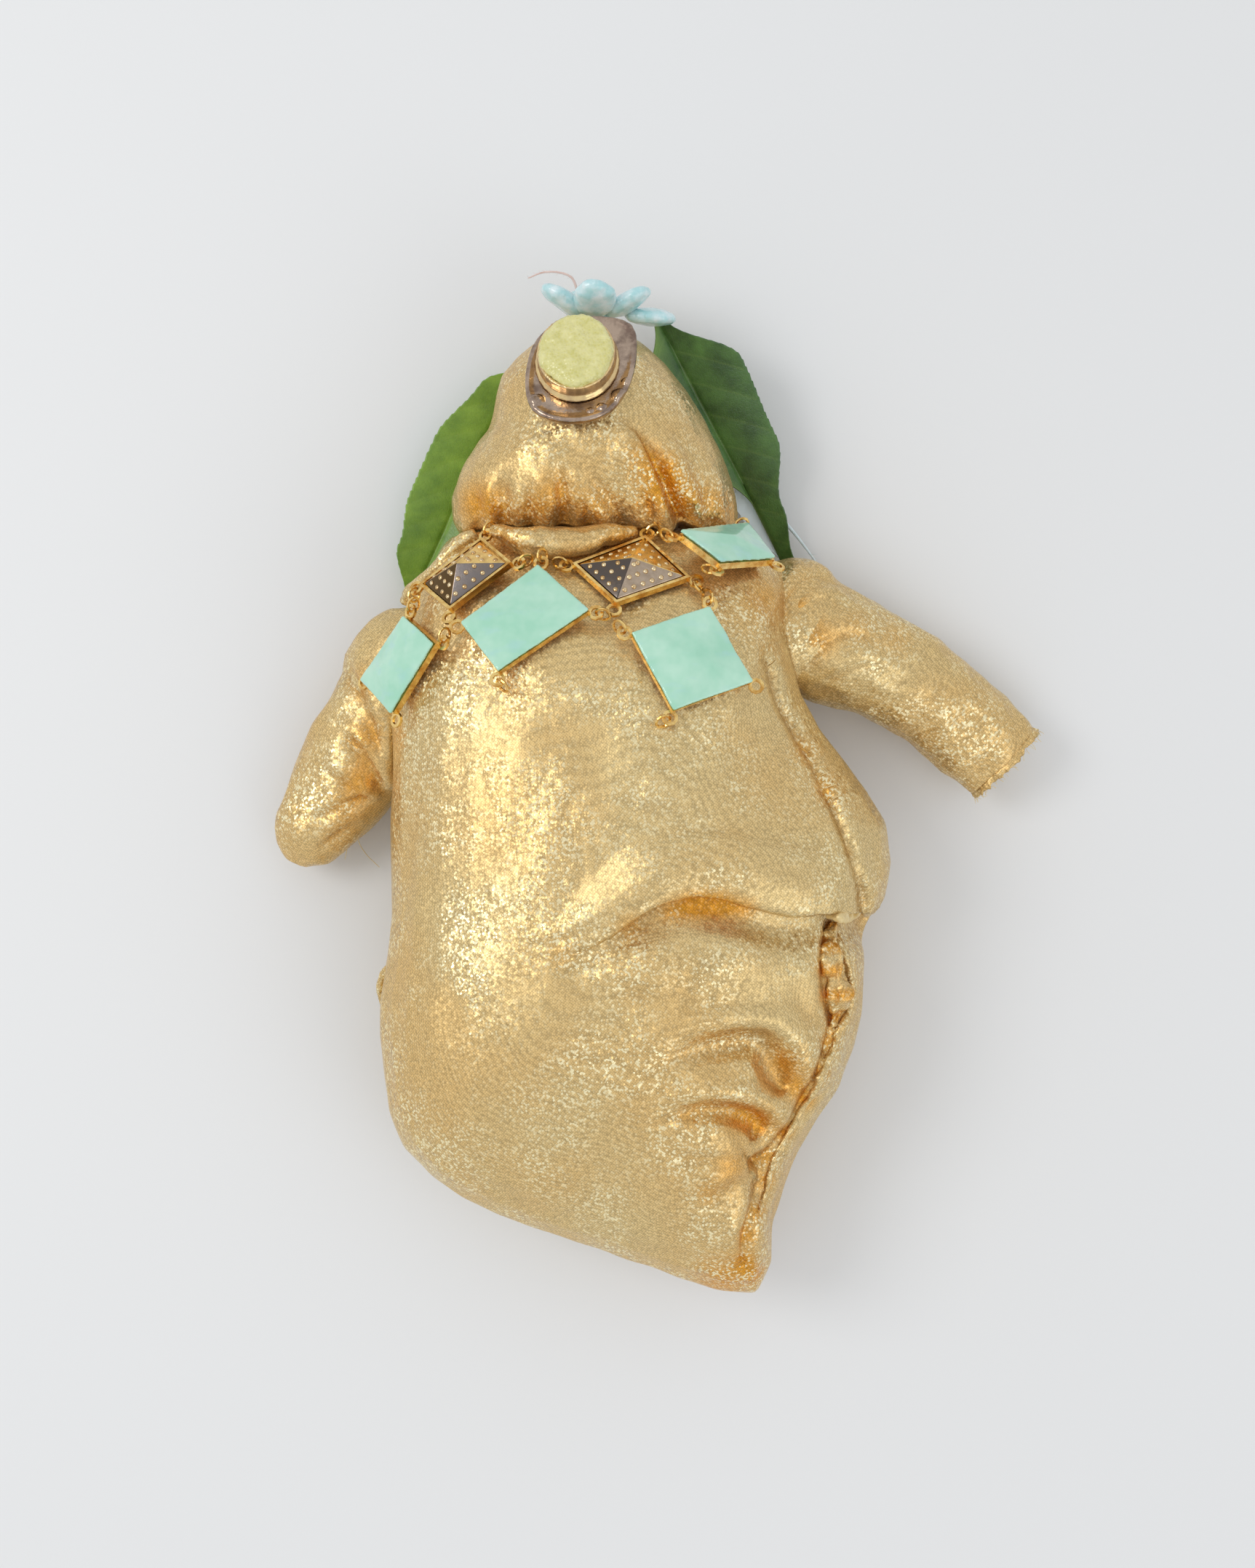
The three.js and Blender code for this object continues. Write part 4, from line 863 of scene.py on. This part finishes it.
def dots_on_slope(left_foot, right_foot, apex, square):
    """Places in rows across one slope of a pyramid, and the slope's upright."""
    width = np.linalg.norm(right_foot - left_foot)
    base = (right_foot - left_foot) / width
    top_along = (apex - left_foot) @ base
    rise = apex - left_foot - base * top_along
    slope = np.linalg.norm(rise)
    rise = rise / slope
    upright = np.cross(base, rise)
    first_row, last_row, margin = dot_radius * 2.1, slope - dot_radius * 2.4, dot_radius * 2.2
    places, row = [], first_row
    while row < last_row:
        start = top_along * row / slope + margin
        end = width - (width - top_along) * row / slope - margin
        for place in np.linspace(start, end, max(1, round((end - start) / dot_pitch)) + 1):
            places.append(left_foot + base * place + rise * row)
        row += dot_pitch
    return places, upright if upright @ square > 0 else -upright


pressed_dots = dot_tree()
dot_radius, dot_pitch = 0.62 * mm, 2.5 * mm
sheet_depth = 0.6 * mm
upper_gold = paint(250, 212, 136)
# Painted reflections, one colour for each slope: the upper slopes reflect gold and the lower ones dark.
slope_colors = {  # upper left, upper right, lower right, lower left
    "collar_tile_left": (paint(234, 186, 108), upper_gold, paint(132, 124, 120), paint(104, 82, 52)),
    "collar_tile_right": (upper_gold, upper_gold, paint(192, 172, 150), paint(98, 90, 84)),
}
for tile, colors in slope_colors.items():
    corners, apex, square = tile_corners(tile)
    feet = [corner - square * sheet_depth for corner in corners]
    slopes = [(i, (i + 3) % 4, 8) for i in range(4)]
    walls = [(i, i + 4, (i + 3) % 4 + 4, (i + 3) % 4) for i in range(4)]
    sheet = new_piece(f"{tile}_sheet", [*corners, *feet, apex], [*slopes, *walls, (4, 5, 6, 7)])
    painted_slope_reflection = sheet.data.color_attributes.new("painted_slope_reflection", "FLOAT_COLOR", "CORNER")
    for polygon in sheet.data.polygons:
        for loop in polygon.loop_indices:
            painted_slope_reflection.data[loop].color = colors[polygon.index % 4]
    modify(sheet, "BEVEL", width=0.28 * mm, segments=3, angle_limit=math.radians(12))
    finished(baked(sheet), sheet_metal.material, tile, f"{tile}_face")
    places, uprights = [], []
    for left_foot, right_foot in zip(corners, corners[1:] + corners[:1]):
        slope_places, upright = dots_on_slope(left_foot, right_foot, apex, square)
        places += slope_places
        uprights += [upright] * len(slope_places)
    dots = new_piece(f"{tile}_dots", places)
    keep_vectors(dots.data, "upright", uprights)
    finished(grown(dots, pressed_dots, radius=dot_radius, flatness=0.55), rubbed.material, tile)

# Brooch: a hammered bronze plate whose rim stands up, with droplets of metal on it. A polished bezel is spun
# and pressed close round a rough slice of lime-coloured druzy stone, whose face is a crust of small crystals.
bronze = two_toned("hammered_bronze", paint(190, 168, 148), paint(130, 110, 98), (4, 0.4, 0.65),
                   gloss=(0.14, 0.28), grain=(2.4, 3.0, 0.6, 0.25, 0.5), Metallic=1.0)
dish = even_skin("brooch_dish", "brooch_plate", 0.3, 2)
sunk = places_of(dish.data)
dish_middle = sunk.mean(0)
dish_up = np.linalg.svd(sunk - dish_middle, full_matrices=False)[2][2]
dish_up *= np.sign(dish_up[2])
dish_across = unit(np.array((1.0, 0, 0)) - dish_up * dish_up[0])
dish_down = np.cross(dish_across, dish_up)
across_dish, down_dish = (sunk - dish_middle) @ dish_across, (sunk - dish_middle) @ dish_down
bearing, reach = np.arctan2(down_dish, across_dish), np.hypot(across_dish, down_dish)
bearings = 72
sector = ((bearing + math.pi) / full_turn * bearings).astype(int) % bearings
rim_reach = np.array([reach[sector == i].max() for i in range(bearings)])
rim_bearing = (np.arange(bearings) + 0.5) / bearings * full_turn - math.pi
rim_reach = np.interp(bearing, rim_bearing, rim_reach, period=full_turn)
rim_height, rim_inset, rim_spread = 0.6 * mm, 0.7 * mm, 1.1 * mm
raised = rim_height * np.exp(-((rim_reach - reach - rim_inset) / rim_spread) ** 2)
droplets = [(-10.3, 8, 1.7, 0.8), (9, 7.3, 1.8, 0.8), (5, 10.3, 1.1, 0.7), (10.6, 3.6, 1, 0.5),
            (2.4, 11.2, 0.8, 0.4)]
for x, y, radius, height in droplets:
    away = np.hypot(across_dish - x * mm, down_dish - y * mm) / (radius * mm)
    raised += height * mm * np.sqrt(np.clip(1 - away ** 2, 0, 1))
raised *= np.clip(normals_of(dish.data) @ dish_up * 2, 0, 1)
crownward_stretch = 0.13
longer_crownward = np.minimum(down_dish, 0) * crownward_stretch
put_places(dish.data, sunk + dish_up * raised[:, None] + dish_down * longer_crownward[:, None])
finished(dish, bronze, "head", "brooch_plate")

# The bezel fits the stone, which stands a little nearer the crown than the plate's middle
towards_crown = dish_down * -0.9 * mm
bezel_tightening = 0.055
bezel_gold = two_toned("bezel_gold", paint(238, 208, 150), paint(206, 176, 132), (3, 0.4, 0.65, 3.0),
                       gloss=(0.12, 0.26), grain=(1.5, 2.0, 0.5, 0.06, 0.4), Metallic=0.9)
bezel = even_skin("bezel_wall", "brooch_bezel", 0.25, 2)
wall = places_of(bezel.data)
outward = wall - wall.mean(0)
outward -= dish_up * (outward @ dish_up)[:, None]
put_places(bezel.data, wall - outward * bezel_tightening + towards_crown)
finished(bezel, bezel_gold, "head", "brooch_bezel")

druzy = Finish("lime_druzy", Roughness=0.2, Specular_IOR_Level=0.7, Subsurface_Weight=0.1,
               Subsurface_Radius=(1.2 * mm, 1.4 * mm, 0.6 * mm))
crystals = druzy.cells(0.7)["Distance"]
lime = druzy.mixed(druzy.patches(2.6, 0.35, 0.7), paint(204, 196, 108), paint(228, 220, 150))
# Painted glints: each crystal is painted paler towards its edges.
druzy.wear(Base_Color=druzy.mixed(druzy.ranged(crystals, 0.15, 0.6, 0.0, 0.2), lime, paint(240, 240, 196)),
           Normal=druzy.relief(crystals, 0.22, 0.8))
stone = even_skin("druzy_stone", "brooch_stone", 0.35, 1)
crust = places_of(stone.data)
broad_lump, fine_lump, lump_height, crust_depth = 4 * mm, 1.1 * mm, 0.45, 0.15
lumps = np.array([1.3 * noise.noise(Vector(p) / broad_lump) + 0.5 * noise.noise(Vector(p) / fine_lump)
                  for p in crust])
swell(stone.data, (lumps * lump_height + crust_depth) * mm, towards_crown)
finished(stone, druzy.material, "head", "brooch_stone")

# Flower: five petals of pale blue glazed clay round a button, wired to the crown, with one curl of fluffy
# thread that stands up from it.
petal_glaze = two_toned("petal_glaze", paint(176, 220, 222), paint(222, 238, 240), (3.4, 0.38, 0.64, 3.0),
                        grain=(2.6, 2.0, 0.5, 0.4, 0.6), Roughness=0.22, Coat_Weight=0.5, Coat_Roughness=0.06)
for name in ("petal_1", "petal_2", "petal_3", "petal_4", "petal_5", "flower_button"):
    clay = even_skin(f"{name}_clay", name, 0.3, 4)
    swell(clay.data, 0.75 * mm)
    dent_cloth(clay.data, 17, [(7, 0.25)])
    finished(clay, petal_glaze, "head", name)

pink_fluff = two_toned("pink_fluff", paint(206, 168, 156), paint(236, 214, 204), (1.5, 0, 1, 2.0, 0.5),
                       Roughness=0.85, Sheen_Weight=0.5)
curl_points = [(-18.35, 118.9, 31.2), (-19.15, 121.6, 32.6), (-20.4, 124.2, 33), (-23.4, 125.4, 33),
               (-27.4, 125.4, 33), (-31, 124, 33)]
rolled_tube("flower_curl", curl_points, [0.34, 0.34, 0.3, 0.26, 0.22, 0.16], "head", voxel=0.11, lumps=0,
            material=pink_fluff, solid="flower_thread")
fluffy_end = smooth_line(curl_points[2:], 0.2)
set_threads("curl_fluff", fluffy_end, along(fluffy_end) + (0, 0.5, 0.2), straight_up, pink_fluff, "head",
            spacing=0.22, length=0.9, thickness=0.022, bend=0.15, spread=1.4, seed=21)


# Leaves: two glossy leaves hang from the crown behind the head, with toothed edges, a deep midrib and pale
# side veins between which the blade puffs up. Their stems are caught under the flower.
def eased(sizes, share):
    """A size between those given at even steps, easing from one to the next."""
    place = share * (len(sizes) - 1)
    first = np.minimum(place.astype(int), len(sizes) - 2)
    blend = (1 - np.cos((place - first) * math.pi)) / 2
    sizes = np.array(sizes)
    return sizes[first] * (1 - blend) + sizes[first + 1] * blend


def blade(name, solid, midrib, half_widths, fold, vein_pitch, tooth, puff=0.07, thickness=0.35, lean=0.3,
          narrow_side=1.0):
    """A blade along its midrib, cut where its solid is cut, with its veins and its tone as attributes.

    The narrow side lies on the right of the midrib as it runs. Towards the tip it falls to that share of the
    other side's width.
    """
    line = smooth_line(midrib, 0.45)
    knots = np.array(midrib) * mm
    length = lengths_along(line)
    at_knot = [length[((line - knot) ** 2).sum(1).argmin()] for knot in knots]
    share = np.interp(length, at_knot, np.linspace(0, 1, len(knots)))
    heading = along(line)
    across = unit(np.cross(straight_up, heading))
    upward = np.cross(heading, across)
    tooth_pitch, trim, column_count = 2.1 * mm, 0.985, 53
    vein_slant, vein_bow, vein_width, vein_end = 0.75, 10 * mm, 0.3 * mm, 0.93
    midrib_width, midrib_depth = 0.55 * mm, 0.35 * mm
    puff_run, wave_run, narrowing = 1.5 * mm, 8.5 * mm, (0.25, 0.55)
    width = (eased(half_widths, share) * mm * (trim - tooth * (length / tooth_pitch % 1)))[:, None]
    columns = np.linspace(-1, 1, column_count)
    narrowed = np.interp(share, narrowing, (1, narrow_side))[:, None]
    reach = columns * width * np.where(columns < 0, narrowed, 1)
    away = np.abs(reach)
    run = length[:, None] - away * vein_slant - (away / vein_bow) ** 2 * mm
    from_vein = np.abs((run / (vein_pitch * mm) + np.where(columns > 0, 0.5, 0)) % 1 - 0.5) * vein_pitch * mm
    vein = np.exp(-(from_vein / vein_width) ** 2) * (away < width * vein_end)
    midline = np.exp(-(away / midrib_width) ** 2)
    waves = lean * mm * np.sin(length / wave_run)[:, None] * (away / width) ** 2
    height = puff * mm * (1 - np.exp(-(from_vein / puff_run) ** 2)) - midrib_depth * midline + waves
    points = (line[:, None] + across[:, None] * (reach * math.cos(fold))[..., None]
              + upward[:, None] * (away * math.sin(fold) + height)[..., None])
    rows, cols = reach.shape
    flat = points.reshape(-1, 3)
    solid_surface, uncut = surface_of(solids[solid].data), 0.62 * mm
    inside = np.array([solid_surface.find_nearest(Vector(p))[3] < uncut for p in flat]).reshape(rows, cols)
    faces = [(r * cols + c, (r + 1) * cols + c, (r + 1) * cols + c + 1, r * cols + c + 1)
             for r in range(rows - 1) for c in range(cols - 1) if inside[r:r + 2, c:c + 2].all()]
    leaf = new_piece(name, flat, faces)
    keep_values(leaf.data, "vein", np.maximum(vein, midline).ravel())
    keep_values(leaf.data, "outward", np.tile((columns + 1) / 2, rows))
    keep_values(leaf.data, "tipward", np.repeat(share, cols))
    modify(biggest_part(leaf), "SOLIDIFY", thickness=thickness * mm, offset=0)
    return baked(leaf)


def leaf_finish(name, dark, bright, rim, bright_side):
    leaf = Finish(name, Specular_IOR_Level=0.55, Subsurface_Weight=0.08, Coat_Weight=0.25, Coat_Roughness=0.3,
                  Subsurface_Radius=(0.4 * mm, 0.9 * mm, 0.2 * mm))
    mottle = leaf.patches(7, 0.35, 0.68)
    outward = leaf.attribute("outward")
    if bright_side == "left":
        outward = leaf.reckoned("SUBTRACT", 1.0, outward)
    crownward = leaf.ranged(leaf.reckoned("SUBTRACT", 1.0, leaf.attribute("tipward")), 0.25, 0.7, 0.5, 1.0)
    towards_rim = leaf.ranged(leaf.times(outward, crownward), 0.55, 0.98)
    green = leaf.mixed(mottle, dark, bright)
    green = leaf.mixed(leaf.times(towards_rim, 0.75), green, rim)
    green = leaf.mixed(leaf.times(leaf.attribute("vein"), 0.13), green, paint(156, 180, 96))
    fine = leaf.cells(0.9, feature="DISTANCE_TO_EDGE")["Distance"]
    return leaf.wear(Base_Color=green, Roughness=leaf.ranged(mottle, 0, 1, 0.34, 0.5),
                     Normal=leaf.relief(leaf.ranged(fine, 0, 0.12), 0.05, 0.5))


leaf_shapes = {
    "leaf_left": dict(
        midrib=[(-30, 106, 13), (-38, 98, 9.5), (-46.5, 84, 7.5), (-52, 70, 6.5), (-57.5, 58, 5.5),
                (-63.5, 46.5, 4)],
        half_widths=[1.1, 8.2, 11.6, 12.4, 9.6, 1.4], fold=0.3, vein_pitch=8, tooth=0.03),
    "leaf_right": dict(
        midrib=[(0.8, 117.5, 19), (9.5, 101.6, 14), (19.6, 83.2, 11), (27.5, 68.7, 8), (33, 58, 5),
                (36.5, 49, 3)],
        half_widths=[1.6, 15.4, 14, 6.8, 3.6, 0.9], fold=0.42, vein_pitch=9, tooth=0.02, narrow_side=0.02),
}
young_leaf = leaf_finish("young_leaf", paint(98, 138, 42), paint(136, 174, 60), paint(160, 190, 84), "right")
old_leaf = leaf_finish("old_leaf", paint(48, 84, 36), paint(82, 122, 54), paint(132, 168, 76), "left")
for name, green in (("leaf_left", young_leaf), ("leaf_right", old_leaf)):
    finished(blade(f"{name}_blade", name, **leaf_shapes[name]), green, name, name)

# Feather: a pale strip of feather with a brown streak hangs behind the right leaf, beside a bare quill that
# ends in fluff.
down = Finish("pale_feather", Roughness=0.6, Sheen_Weight=0.3)
barbs = down.node("TexWave", {"Vector": down.turned(25), "Scale": 1 / (9 * mm), "Distortion": 1.5})
streaked = down.times(down.ranged(down.attribute("outward"), 0.42, 0.6),
                      down.ranged(down.attribute("tipward"), 0.45, 0.75))
down.wear(Base_Color=down.mixed(streaked, paint(214, 228, 232), paint(150, 112, 84)),
          Normal=down.relief(barbs.outputs["Fac"], 0.15, 0.6))
vane_midrib = [(21, 80.5, 7.1), (25.2, 73, 6.1), (29.2, 65.5, 5.1), (32.6, 59, 4.1)]
vane = blade("feather_strip", "feather_vane", vane_midrib, [0.6, 4.5, 4, 0.4],
             fold=0.1, vein_pitch=1.4, tooth=0.06, puff=0.12, thickness=0.2, lean=0.2)
finished(vane, down.material, "leaf_right", "feather_vane")
quill_points = [(33.4, 68.6, 5.3), (36.4, 65.3, 4.7), (39.4, 61.6, 4), (42.4, 57.6, 3.4)]
rolled_tube("bare_quill", quill_points, [0.5, 0.44, 0.36, 0.24], "leaf_right", voxel=0.13, lumps=0,
            material=down.material, solid="feather_quill")
quill_line = smooth_line(quill_points[1:], 0.2)
set_threads("quill_fluff", quill_line, along(quill_line) + 0.3, straight_up, down.material, "leaf_right",
            spacing=0.3, length=1.4, thickness=0.025, bend=0.25, spread=1.3, seed=31)
